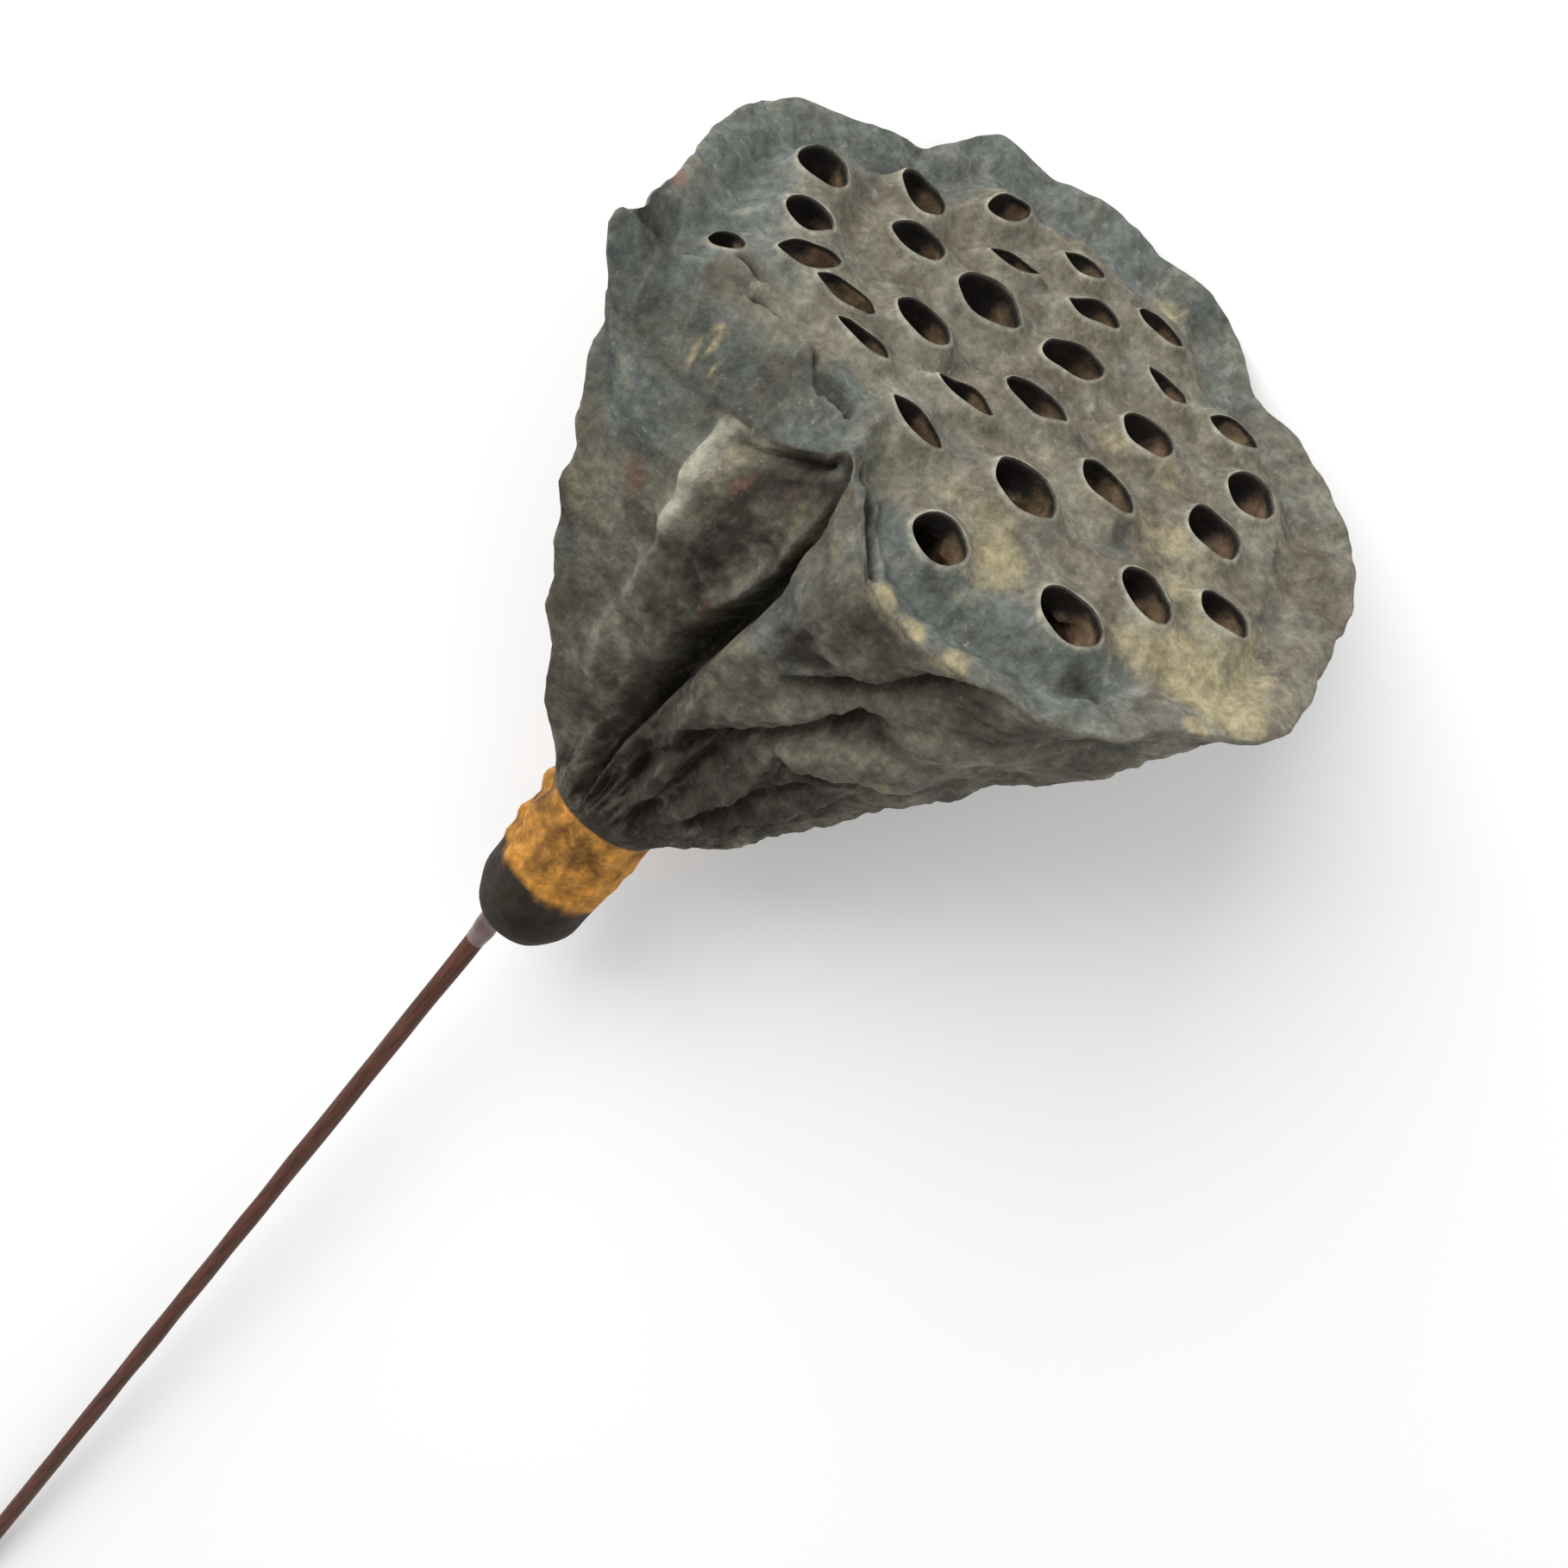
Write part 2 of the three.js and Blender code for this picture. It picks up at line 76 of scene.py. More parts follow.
def turn_between(a, b):
    """Signed angle in degrees from b to a, the short way round."""
    return (a - b + 180.0) % 360.0 - 180.0


def ripple(points, size, seed, waves=30):
    """Soft random relief of about one wavelength: sines running in many random directions, added up."""
    draw = np.random.default_rng(seed)
    heading = draw.normal(size=(waves, points.shape[-1]))
    heading /= np.linalg.norm(heading, axis=1, keepdims=True)
    pitch = 2.0 * np.pi / (size * draw.uniform(0.7, 1.4, waves))
    phase = draw.uniform(0.0, 2.0 * np.pi, waves)
    return np.sin(points @ (heading * pitch[:, None]).T + phase).sum(-1) * np.sqrt(2.0 / waves)


def round_axis(angle, radius):
    """Points of a circle, so that a ripple read on them closes on itself."""
    phi = np.radians(angle)
    return np.stack([radius * np.cos(phi), radius * np.sin(phi)], -1)


def rim_at(angle):
    """Radius and height of the rim: a smooth cubic through the listed points, with a fine ragged edge."""
    angle = np.asarray(angle, float) % 360.0
    knots = np.concatenate([RIM[:, 0] - 360.0, RIM[:, 0], RIM[:, 0] + 360.0])
    values = np.concatenate([RIM[:, 1:]] * 3)
    i = np.searchsorted(knots, angle, side="right") - 1
    span = knots[i + 1] - knots[i]
    u = ((angle - knots[i]) / span)[..., None]
    leave = (values[i + 1] - values[i - 1]) * (span / (knots[i + 1] - knots[i - 1]))[..., None]
    arrive = (values[i + 2] - values[i]) * (span / (knots[i + 2] - knots[i]))[..., None]
    step = 3.0 * u ** 2 - 2.0 * u ** 3
    smooth = (1.0 - step) * values[i] + step * values[i + 1]
    smooth = smooth + (u ** 3 - 2.0 * u ** 2 + u) * leave + (u ** 3 - u ** 2) * arrive
    circle = round_axis(angle, RIM_RADIUS)
    ragged = RAGGED * ripple(circle, 6.0, 11) + FINE_RAGGED * ripple(circle, 2.4, 12)
    return smooth[..., 0] + ragged, smooth[..., 1]


def folded_at(angle):
    """One where the rim hangs folded down over the wall, nought elsewhere."""
    a = np.asarray(angle, float) % 360.0
    return ease(FOLDED_FROM - 2.5, FOLDED_FROM + 3, a) * (1.0 - ease(FOLDED_TO - 4, FOLDED_TO + 4, a))


# Mouths of the seed chambers: x, y, length, width, turn in degrees, and how pointed the ends are.
MOUTHS = np.array([
    [-15.5, 28.7, 6, 3.4, 63, 0.1], [-5.5, 29.8, 5.2, 2.3, 13, 0.6], [5.1, 31.2, 6.4, 2.1, 15, 0.4],
    [18.3, 26.5, 5.9, 3.8, 4, 0.4], [9.8, 24.8, 5.7, 2.7, -8, 0.7], [-1.2, 25.2, 6.7, 3.3, 30, 0.3],
    [-10.8, 22.3, 6.3, 1.7, 30, 0.8], [-22.4, 19.6, 6.2, 4.9, -14, 0.3], [23.8, 19.3, 6.5, 5.7, -57, 0.1],
    [0.8, 16.5, 7.8, 4.7, 39, 0.1], [11.6, 15.3, 6.4, 5.1, 14, 0.2], [-9.4, 13.8, 7.8, 6.9, 12, 0.12],
    [-18.7, 12.8, 6.5, 4.8, 34, 0.25], [-30.1, 9.8, 6.2, 5.5, -42, 0.1], [23, 10.1, 6.7, 6.1, -29, 0.15],
    [1.1, 6.6, 7.5, 4.1, 16, 0.35], [11.9, 3.9, 7.1, 4.5, -10, 0.35], [-12, 3.2, 6.5, 4.8, 2, 0.3],
    [-27, 3, 5.9, 4.6, 57, 0.1], [28.3, 0.5, 6.1, 4.4, -3, 0.35], [-23.8, -1.7, 7.4, 3.2, 52, 0.35],
    [-18.8, -2.3, 6.8, 3.2, 18, 0.5], [-4, -0.9, 6.6, 2.3, 12, 0.6], [6.2, -5.5, 7.3, 6.2, -8, 0.15],
    [21.3, -5.1, 6.7, 4.9, -27, 0.2], [-14.4, -5.5, 6.3, 2.7, 0, 0.6], [-5.3, -8.9, 6.5, 2.3, 4, 0.5],
    [-29.5, -8.2, 3.4, 2.7, 33, 0.4], [17.1, -13.4, 7, 5.1, -9, 0.1], [3.6, -15.8, 5.8, 4.1, 2, 0.05],
])
MOUTH_WAVE = 0.025


def mouth_edge(number, around):
    """Edge of one mouth as a factor on its ellipse: partly a lens of two arcs, with slow waves of its own."""
    phase = 2.4 * number
    slow = 0.6 * np.cos(3.0 * around + phase) + 0.4 * np.cos(4.0 * around + 1.7 * phase)
    flank, end = np.abs(np.sin(around)), np.abs(np.cos(around))
    arcs = 2.0 / (np.sqrt(flank ** 2 + 4.0 * end ** 2) + flank)
    return 1.0 + MOUTHS[number, 5] * (arcs - 1.0) + MOUTH_WAVE * slow


def mouth_ring(number, around, grow):
    """Places in the face plane round one mouth, its edge let out by `grow` millimetres."""
    x, y, length, width, spin, _ = MOUTHS[number]
    edge = mouth_edge(number, around)
    u = 0.5 * length * np.cos(around) * edge
    v = 0.5 * width * np.sin(around) * edge
    reach = 1.0 + grow / np.hypot(u, v)
    c, s = np.cos(np.radians(spin)), np.sin(np.radians(spin))
    return np.stack([x + reach * (u * c - v * s), y + reach * (u * s + v * c)], -1)


def mouth_distance(places):
    """Distance of each place from the edge of each mouth, along the line to the mouth's middle."""
    apart = np.empty((len(places), len(MOUTHS)))
    for number, (x, y, length, width, spin, _) in enumerate(MOUTHS):
        c, s = np.cos(np.radians(spin)), np.sin(np.radians(spin))
        dx, dy = places[:, 0] - x, places[:, 1] - y
        u, v = (dx * c + dy * s) / (0.5 * length), (dy * c - dx * s) / (0.5 * width)
        inside = mouth_edge(number, np.arctan2(v, u)) / np.maximum(np.hypot(u, v), 1e-6)
        apart[:, number] = np.hypot(dx, dy) * (1.0 - inside)
    return apart


def face_polar(places):
    """Angle of each place round the middle of the face, and its share of the way to the rim."""
    dx, dy = places[:, 0] - FACE_X, places[:, 1] - FACE_Y
    angle = np.degrees(np.arctan2(dy, dx))
    return angle, np.hypot(dx, dy) / rim_at(angle)[0]


# Splits in the skin of the face: from x, y to x, y, depth, half width.
SPLITS = np.array([
    [-27.5, -9.2, -26.8, -8.8, 1.4, 0.3], [-26.8, -8.8, -25.4, -8.0, 1.6, 0.3],
    [-24.2, -9.7, -22.6, -9.5, 1.2, 0.3], [-22.6, -9.5, -20.8, -9.3, 1.1, 0.3],
    [-16.5, -10.3, -14.9, -11.2, 1.3, 0.32], [-14.9, -11.2, -12.3, -11.8, 1.6, 0.36],
    [-12.3, -11.8, -10.1, -12.6, 1.5, 0.36], [-6.0, -14.6, -4.1, -16.3, 2.0, 0.45],
    [-4.1, -16.3, -1.4, -19.4, 2.4, 0.5], [-1.4, -19.4, 1.5, -22.3, 2.4, 0.5],
    [20.5, -17.5, 24.0, -16.0, 0.7, 0.6],
])


def split_depth(places):
    """How deep the splits are at each place: a narrow groove along each line, fading at its ends."""
    depth = np.zeros(len(places))
    for x0, y0, x1, y1, deep, width in SPLITS:
        run = np.array([x1 - x0, y1 - y0])
        along = ((places - [x0, y0]) @ run) / (run @ run)
        near = np.clip(along, 0.0, 1.0)[:, None] * run + [x0, y0]
        depth = np.maximum(depth, deep * bell(np.linalg.norm(places - near, axis=1), width))
    return depth


# Flange: the outer part of the face, which drops to the rim beyond a groove. At the corner where the folded
# side begins a deeper pocket lies in it, and the rim beside the pocket stands up. Places are shares of the
# way to the rim and angles.
FACE_CROWN = -0.9
DROP_FROM = 0.35
FLANGE_GROOVE, GROOVE_AT, GROOVE_REACH = 1.6, 0.86, 0.06
FLANGE_SWELL, SWELL_AT, SWELL_REACH = 0.5, 0.76, 0.05
POCKET_DEPTH, POCKET_AT, POCKET_ANGLE = 1.9, 0.91, 206.5
CORNER_LIFT, CORNER_ANGLE = 0.9, 211.0


def face_base(places):
    """Height of the face without its mouths: a hollow middle, a drop to the rim, a groove in the flange."""
    angle, share = face_polar(places)
    folded = folded_at(angle)
    drop = (1.0 - folded) * ease(DROP_FROM, 1.0, share) ** 1.2
    fold_line = 0.7 + 0.15 * ease(214.0, 232.0, angle % 360.0)
    drop += folded * np.clip((share - fold_line) / (1.0 - fold_line), 0.0, 1.0) ** 1.35
    groove = FLANGE_GROOVE * bell(share - GROOVE_AT, GROOVE_REACH) * (1.0 - folded)
    groove += POCKET_DEPTH * bell(share - POCKET_AT, 0.08) * bell(turn_between(angle, POCKET_ANGLE), 5.5)
    groove -= CORNER_LIFT * ease(0.72, 0.95, share) * bell(turn_between(angle, CORNER_ANGLE), 1.6)
    groove -= FLANGE_SWELL * bell(share - SWELL_AT, SWELL_REACH) * (1.0 - folded)
    return rim_at(angle)[1] * drop + FACE_CROWN * (1.0 - share ** 2) - groove


# Each mouth lies in a plane of its own: the height of the face at its middle, and part of the slope there.
middles = MOUTHS[:, :2]
SLOPE_REACH, SLOPE_KEPT = 2.5, 0.7
mouth_level = face_base(middles)
mouth_slope = np.stack([
    face_base(middles + step) - face_base(middles - step)
    for step in ([SLOPE_REACH, 0.0], [0.0, SLOPE_REACH])
], -1) * (SLOPE_KEPT / (2.0 * SLOPE_REACH))

# Skin of the face: it stands up in a thin lip round each mouth and sags between the lips.
LIP_HEIGHT, LIP_WIDTH, LIP_LEVEL, LIP_REACH = 0.6, 0.42, 0.45, 1.1
SKIN_SAG, TENT_REACH, TENT_LEVEL = 1.9, 2.2, 0.7
PUCKER, FINE_PUCKER = 0.3, 0.15
ROUGH, FINE_ROUGH = 0.17, 0.08
VEIN_HEIGHT, VEIN_WIDTH = 0.22, 0.28


def face_veins(places):
    """Thin raised veins: one where a slow ripple passes through nought, falling off on both sides."""
    return np.maximum(0.0, 1.0 - np.abs(ripple(places, 11.0, 26)) / VEIN_WIDTH)


def face_height(places):
    """Height of the face: its base, skin hung like a tent between the flat lips, veins, puckers, splits."""
    angle, share = face_polar(places)
    folded = folded_at(angle)
    apart = np.maximum(mouth_distance(places), 0.0)
    plateau = 1.0 - ease(0.72, 0.9, share)
    tent = np.exp(-3.0 * apart / TENT_REACH).sum(1) ** (1.0 / 3.0)
    sag = SKIN_SAG * (tent - TENT_LEVEL) * plateau
    flange = ease(0.78, 0.97, share) * (1.0 - 0.7 * folded)
    circle = round_axis(angle, 38.0)
    edge = ease(0.97, 1.0, share)
    pucker = flange * (PUCKER * ripple(circle, 7.0, 22) + FINE_PUCKER * ripple(circle, 3.0, 23))
    pucker *= 1.0 - 0.6 * edge
    rough = ROUGH * ripple(places, 6.5, 24) + FINE_ROUGH * ripple(places, 2.2, 25)
    rough = (rough + VEIN_HEIGHT * face_veins(places)) * (1.0 - edge)
    skin = face_base(places) + sag + pucker + rough
    mouth, nearest = apart.argmin(1), apart.min(1)
    plane = mouth_level[mouth] + ((places - middles[mouth]) * mouth_slope[mouth]).sum(1)
    near = bell(nearest, LIP_REACH)
    skin = (1.0 - near) * skin + near * (plane + LIP_LEVEL)
    lip = LIP_HEIGHT * bell(nearest, LIP_WIDTH) * (0.75 + 0.2 * ripple(places, 5.0, 21))
    return skin + lip - split_depth(places)


# Wall: from under the rim it narrows to the neck; each fold that drying has left is listed as angle at the
# rim, angle at the neck, place down the wall, reach, half width before it and after it, height.
NECK = np.array([-5.6, -15.5, -67.0])
NECK_RADIUS = 7.6
WALL_TILT = 23.0
WALL_SLOPE, WALL_RADIUS = 70.0, 24.0
RIM_FLARE, LEFT_FLARE, FLARE_REACH = 3.0, 3.6, 0.05
LEFT_ANGLE, LEFT_SWELL = 190.0, 0.5
FOLD_SWELL = 2.6
FOLDS = np.array([
    [241, 226, 0.3, 0.28, 14, 16, 6], [270, 256, 0.35, 0.25, 9, 9, 4], [299, 250, 0.22, 0.2, 5, 7, -1.5],
    [319, 249, 0.48, 0.2, 4, 6, -1.5], [190, 200, 0.5, 0.3, 6, 6, -1.5], [212, 212, 0.48, 0.22, 13, 10, -1.2],
    [336, 336, 0.2, 0.12, 14, 14, 1.3], [330, 326, 0.84, 0.1, 20, 20, 1.2], [30, 20, 0.4, 0.3, 8, 8, -2.5],
    [80, 70, 0.45, 0.3, 9, 9, -3], [135, 125, 0.4, 0.35, 8, 8, -3],
])
# The deepest valley is a slit at the top and a hollow below: place down the wall, angle of its left and
# of its right edge, depth.
VALLEY = np.array([
    [0, 251.5, 254.5, 1.5], [0.06, 255.5, 257.6, 2.2], [0.15, 257.3, 260, 3.6], [0.23, 258.5, 263.3, 5.8],
    [0.32, 256, 264.5, 7.5], [0.4, 251.5, 264, 8], [0.5, 245.5, 262.3, 7], [0.65, 243, 257.5, 4],
    [0.8, 243, 252, 1.5], [1, 243, 249, 0],
])
# Creases and crests, sharper than the folds: rise, width before and after it, and its line on the wall
# as angle and place down the wall.
CREASES = [
    (1.2, 1.1, 1.3, [[227.5, 0], [228.3, 0.02], [230.4, 0.067], [232.6, 0.127], [233, 0.207], [234, 0.26],
                     [234, 0.34], [231, 0.43], [227, 0.55], [225.6, 0.71]]),
    (-0.9, 0.8, 0.8, [[225.5, 0.02], [227, 0.06], [229.5, 0.14]]),
    (-1.7, 0.7, 0.8, [[231, 0.03], [236, 0.027], [242, 0.028], [248, 0.033]]),
    (-1.1, 0.45, 0.45, [[212.9, 0.084], [216, 0.09]]),
    (-3.0, 0.7, 1.6, [[277, 0.31], [282, 0.29], [287, 0.27], [291, 0.195], [294.5, 0.125], [296, 0.055],
                      [298, 0.01]]),
    (-3.2, 0.7, 1.6, [[272.5, 0.635], [282, 0.575], [286, 0.525], [291, 0.46], [293.5, 0.395], [296, 0.33],
                      [296, 0.275]]),
    (-1.6, 0.6, 1.4, [[289.5, 0.495], [301, 0.535], [305.5, 0.505], [310.5, 0.47], [324.5, 0.495],
                      [332, 0.48]]),
    (-3.4, 1.1, 2.0, [[285.6, 0.61], [286.4, 0.7], [291.2, 0.83], [291, 0.9]]),
    (-2.6, 1.0, 1.5, [[263.2, 0.74], [270.4, 0.816], [272.8, 0.85]]),
    (-2.0, 1.4, 1.8, [[243, 0.64], [242.4, 0.77], [241, 0.88]]),
    (-2.0, 0.8, 1.1, [[306, 0.8], [306, 0.67], [310.8, 0.55]]),
    (-1.7, 0.8, 1.1, [[323, 0.76], [329, 0.67], [324, 0.52]]),
    (-1.8, 0.9, 1.2, [[267.5, 0.85], [270.5, 0.74], [277, 0.66]]),
    (0.9, 0.8, 0.8, [[299, 0.86], [299.5, 0.74], [300, 0.62]]),
    (0.9, 0.8, 0.8, [[314, 0.8], [316, 0.68], [317, 0.56]]),
    (0.9, 0.7, 0.9, [[281.6, 0.612], [271.2, 0.649], [274.4, 0.696], [276.4, 0.749], [278.8, 0.796]]),
]


def wall_folds(angle, down):
    """Height of the big folds: across each a bell with a width of its own on either side."""
    height = np.zeros(np.broadcast(angle, down).shape)
    for at_rim, at_neck, place, reach, before, after, rise in FOLDS:
        off = turn_between(angle, at_rim + (at_neck - at_rim) * down)
        across = bell(off, np.where(off < 0.0, before, after))
        along = bell(down - place, reach) * np.minimum(1.0, down / 0.06) * (1.0 - down ** 6)
        height = height + rise * across * along
    return height


def wall_valley(angle, down):
    """Depth of the valley: between its two edges, steep at the left and gentler at the right."""
    around = np.asarray(angle, float) % 360.0
    left, right, depth = (np.interp(down, VALLEY[:, 0], VALLEY[:, k]) for k in (1, 2, 3))
    rise_from = right - 0.55 * (right - left)
    return depth * ease(left - 0.8, left + 1.8, around) * (1.0 - ease(rise_from, right + 1.0, around))


# The wall laid flat for its creases: radius at the rim, what it loses down to the neck, and its length.
TOP_RADIUS, RADIUS_LOSS, CREASE_RUN = 36.0, 27.0, 72.0


def line_gap(angle, down, line):
    """Distance in millimetres from the nearest point of a bent line on the wall, and on which side of it."""
    girth = np.radians(1.0) * (TOP_RADIUS - RADIUS_LOSS * down)
    nearest = np.full(np.broadcast(angle, down).shape, 1e9)
    past = np.zeros(nearest.shape, bool)
    for (a0, d0), (a1, d1) in zip(line[:-1], line[1:]):
        u, v = turn_between(angle, a0) * girth, (down - d0) * CREASE_RUN
        run_u, run_v = (a1 - a0) * girth, (d1 - d0) * CREASE_RUN
        along = np.clip((u * run_u + v * run_v) / (run_u ** 2 + run_v ** 2), 0.0, 1.0)
        gap = np.hypot(u - along * run_u, v - along * run_v)
        past = np.where(gap < nearest, u > along * run_u, past)
        nearest = np.minimum(gap, nearest)
    return nearest, past


def wall_creases(angle, down):
    """Height of the creases: a bell of the distance from each bent line."""
    height = np.zeros(np.broadcast(angle, down).shape)
    for rise, before, after, line in CREASES:
        gap, past = line_gap(angle, down, line)
        height = height + rise * bell(gap, np.where(past, after, before))
    return height


# Heights of the wrinkles, and the angle of the side that has stayed smooth.
CREST_HEIGHT, FINE_CREST_HEIGHT, LUMP_HEIGHT, LEATHER_HEIGHT = 1.0, 0.3, 0.35, 0.13
SMOOTH_SIDE = 207.0


def wall_wrinkles(angle, down):
    """Dry wrinkles: sharp crests that run down the wall, lumps, and a fine leathery roughness."""
    angle, down = np.broadcast_arrays(angle, down)
    ring = round_axis(angle, WALL_RADIUS)
    along = WALL_SLOPE * down
    streak = np.concatenate([ring, 0.3 * along[..., None]], -1)
    solid = np.concatenate([ring, along[..., None]], -1)
    crest = 0.6 - np.abs(ripple(streak, 8.5, 31))
    fine_crest = 0.6 - np.abs(ripple(streak, 3.2, 32))
    strength = ease(0.0, 0.12, down) * (1.0 - ease(0.93, 1.0, down))
    low = (0.2 + 0.8 * ease(0.3, 0.8, down)) * (1.0 - 0.85 * bell(turn_between(angle, SMOOTH_SIDE), 40.0))
    relief = low * (CREST_HEIGHT * crest + FINE_CREST_HEIGHT * fine_crest)
    relief = relief + LUMP_HEIGHT * ripple(solid, 10.0, 33)
    calm = 1.0 - 0.8 * bell(line_gap(angle, down, CREASES[0][3])[0], 2.5)
    calm = calm * (1.0 - 0.6 * bell(turn_between(angle, 200.0), 30.0))
    return strength * (relief + LEATHER_HEIGHT * calm * ripple(solid, 1.9, 34))


def wall_point(angle, down, wrinkled=True):
    """Wall of the pod: rings that shrink from the rim to the neck while their middle moves down to it."""
    radius, height = rim_at(angle)
    left = bell(turn_between(angle, LEFT_ANGLE), 50.0)
    swell = 1.0 - down ** (1.2 + LEFT_SWELL * left)
    r = NECK_RADIUS + (radius - NECK_RADIUS) * swell
    around = np.asarray(angle, float) % 360.0
    flush = 0.4 * ease(204.0, 213.0, around) + 0.4 * ease(213.0, 222.0, around)
    flush = flush * (1.0 - ease(232.0, 243.0, around)) * (1.0 - ease(0.04, 0.35, down))
    near = ease(248.0, 258.0, around) * (1.0 - ease(300.0, 320.0, around))
    flare = (RIM_FLARE + LEFT_FLARE * left) * (1.0 - flush) * (1.0 - 0.65 * near)
    below_rim = 1.0 - np.exp(-down / FLARE_REACH)
    r = r - flare * below_rim * (1.0 - down) ** 1.3
    merge = ease(213.0, 221.0, around) * (1.0 - ease(229.0, 238.0, around))
    r = r + FOLD_SWELL * merge * below_rim * (1.0 - ease(0.1, 0.45, down))
    r = r + wall_folds(angle, down) - wall_valley(angle, down)
    if wrinkled:
        r = r + (wall_wrinkles(angle, down) + wall_creases(angle, down))
    phi, tilt = np.radians(angle), np.radians(WALL_TILT * down)
    x = FACE_X + (NECK[0] - FACE_X) * down + r * np.cos(phi)
    y = FACE_Y + (NECK[1] - FACE_Y) * down + r * np.sin(phi) * np.cos(tilt)
    z = NECK[2] * down - r * np.sin(phi) * np.sin(tilt) + (height - RIM_THICKNESS) * (1.0 - down) ** 2
    return np.stack([x, y, z], -1)


def unit(vector):
    """A vector of length one in the same direction: the vector divided by its length."""
    return np.asarray(vector, float) / np.linalg.norm(vector)


# Stalk stub: a tan scar band where petals and stamens fell off, then the dark cut end.
STALK_AXIS = unit([-0.01, 0.425, 0.905])
STALK_LENGTH = 21.5
STALK_TAPER = 0.6
STALK_ROUNDING = 2.2
STUB_RADIUS = 7.0
DARK_END_FROM = 0.57
SCAR_LUMPS, SCAR_PITS, STUB_LUMPS = 0.22, 0.7, 0.08
STALK_SIDE = unit(np.cross(np.cross(STALK_AXIS, [1.0, 0.0, 0.0]), STALK_AXIS))
STALK_UP = np.cross(STALK_AXIS, STALK_SIDE)


def stalk_point(angle, share):
    """Stub from the neck to its rounded end: rings along its axis, pitted where the band is tan."""
    angle, share = np.broadcast_arrays(angle, share)
    ring = round_axis(angle, STUB_RADIUS)
    solid = np.concatenate([ring, STALK_LENGTH * share[..., None]], -1)
    band = ease(0.0, 0.08, share) * (1.0 - ease(DARK_END_FROM - 0.06, DARK_END_FROM + 0.06, share))
    pits = np.maximum(0.0, ripple(solid, 4.5, 41) - 0.7)
    relief = band * (SCAR_LUMPS * ripple(solid, 3.0, 42) - SCAR_PITS * pits)
    relief = relief + STUB_LUMPS * ripple(solid, 5.0, 43)
    rounding = STALK_ROUNDING * np.maximum(0.0, (share - 0.75) / 0.25) ** 2
    r = NECK_RADIUS - STALK_TAPER * share - rounding + relief * (1.0 - ease(0.9, 1.0, share))
    phi = np.radians(angle)
    middle = NECK - STALK_AXIS * (STALK_LENGTH * share)[..., None]
    return middle + (r * np.cos(phi))[..., None] * STALK_SIDE + (r * np.sin(phi))[..., None] * STALK_UP


# Lying down: the floor passes through two places of the rim and the underside of the stick's free end.
STICK_AXIS = unit([-0.024, 0.431, 0.902])
STICK_RADIUS, STICK_SHOWN, STICK_SUNK = 1.3, 180.0, 14.5
STICK_ENTRY = NECK - STALK_AXIS * STALK_LENGTH + np.array([-1.9, 0.0, 0.0])
LOW_RIM = np.array([72.0, 114.5])
PER_METRE = 1000.0
rough_up = unit(np.array([0.0, -1.0, 0.0]) + STICK_AXIS * STICK_AXIS[1])
stick_low = STICK_ENTRY - STICK_AXIS * STICK_SHOWN - rough_up * STICK_RADIUS
low_rim = wall_point(LOW_RIM, np.zeros(2), wrinkled=False)
floor_up = np.cross(low_rim[0] - stick_low, low_rim[1] - stick_low)
floor_up *= np.sign(floor_up @ rough_up) / np.linalg.norm(floor_up)
floor_x = unit(low_rim.mean(0) - stick_low)
LAY_DOWN = np.array([floor_x, np.cross(floor_up, floor_x), floor_up])
stick_box = np.array(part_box("stick"))
stick_middle = STICK_ENTRY + STICK_AXIS * (0.5 * (STICK_SUNK - STICK_SHOWN))
SHIFT = stick_box.mean(0) - LAY_DOWN @ stick_middle / PER_METRE


def lay(points):
    """From millimetres in the pod's own frame to metres in the shared frame, lying on the floor."""
    return points @ LAY_DOWN.T / PER_METRE + SHIFT


# The skin of the pod is one closed mesh: face, chambers, wall and stub share their rings of points.
AROUND, MOUTH_AROUND = 400, 40
PLATEAU_STEP, SPLIT_STEP = 0.75, 0.3
SPLIT_LINES = np.array([-1.6, -0.7, 0.0, 0.7, 1.6])
FLANGE_FROM = 0.7
LIP_STEPS = [0.0, 0.2, 0.45, 0.8, 1.3, 1.9]
angles = np.linspace(0.0, 360.0, AROUND, endpoint=False)
mouth_around = np.linspace(0.0, 2.0 * np.pi, MOUTH_AROUND, endpoint=False)


def split_places(split):
    """Places along one split: five close lines beside each other, so that the groove keeps its shape."""
    start, run = split[:2], split[2:4] - split[:2]
    length = np.hypot(*run)
    along = np.arange(0.05, 1.0, SPLIT_STEP / length)[:, None, None]
    aside = split[5] * SPLIT_LINES[:, None] * [-run[1], run[0]] / length
    return (start + along * run + aside).reshape(-1, 2)


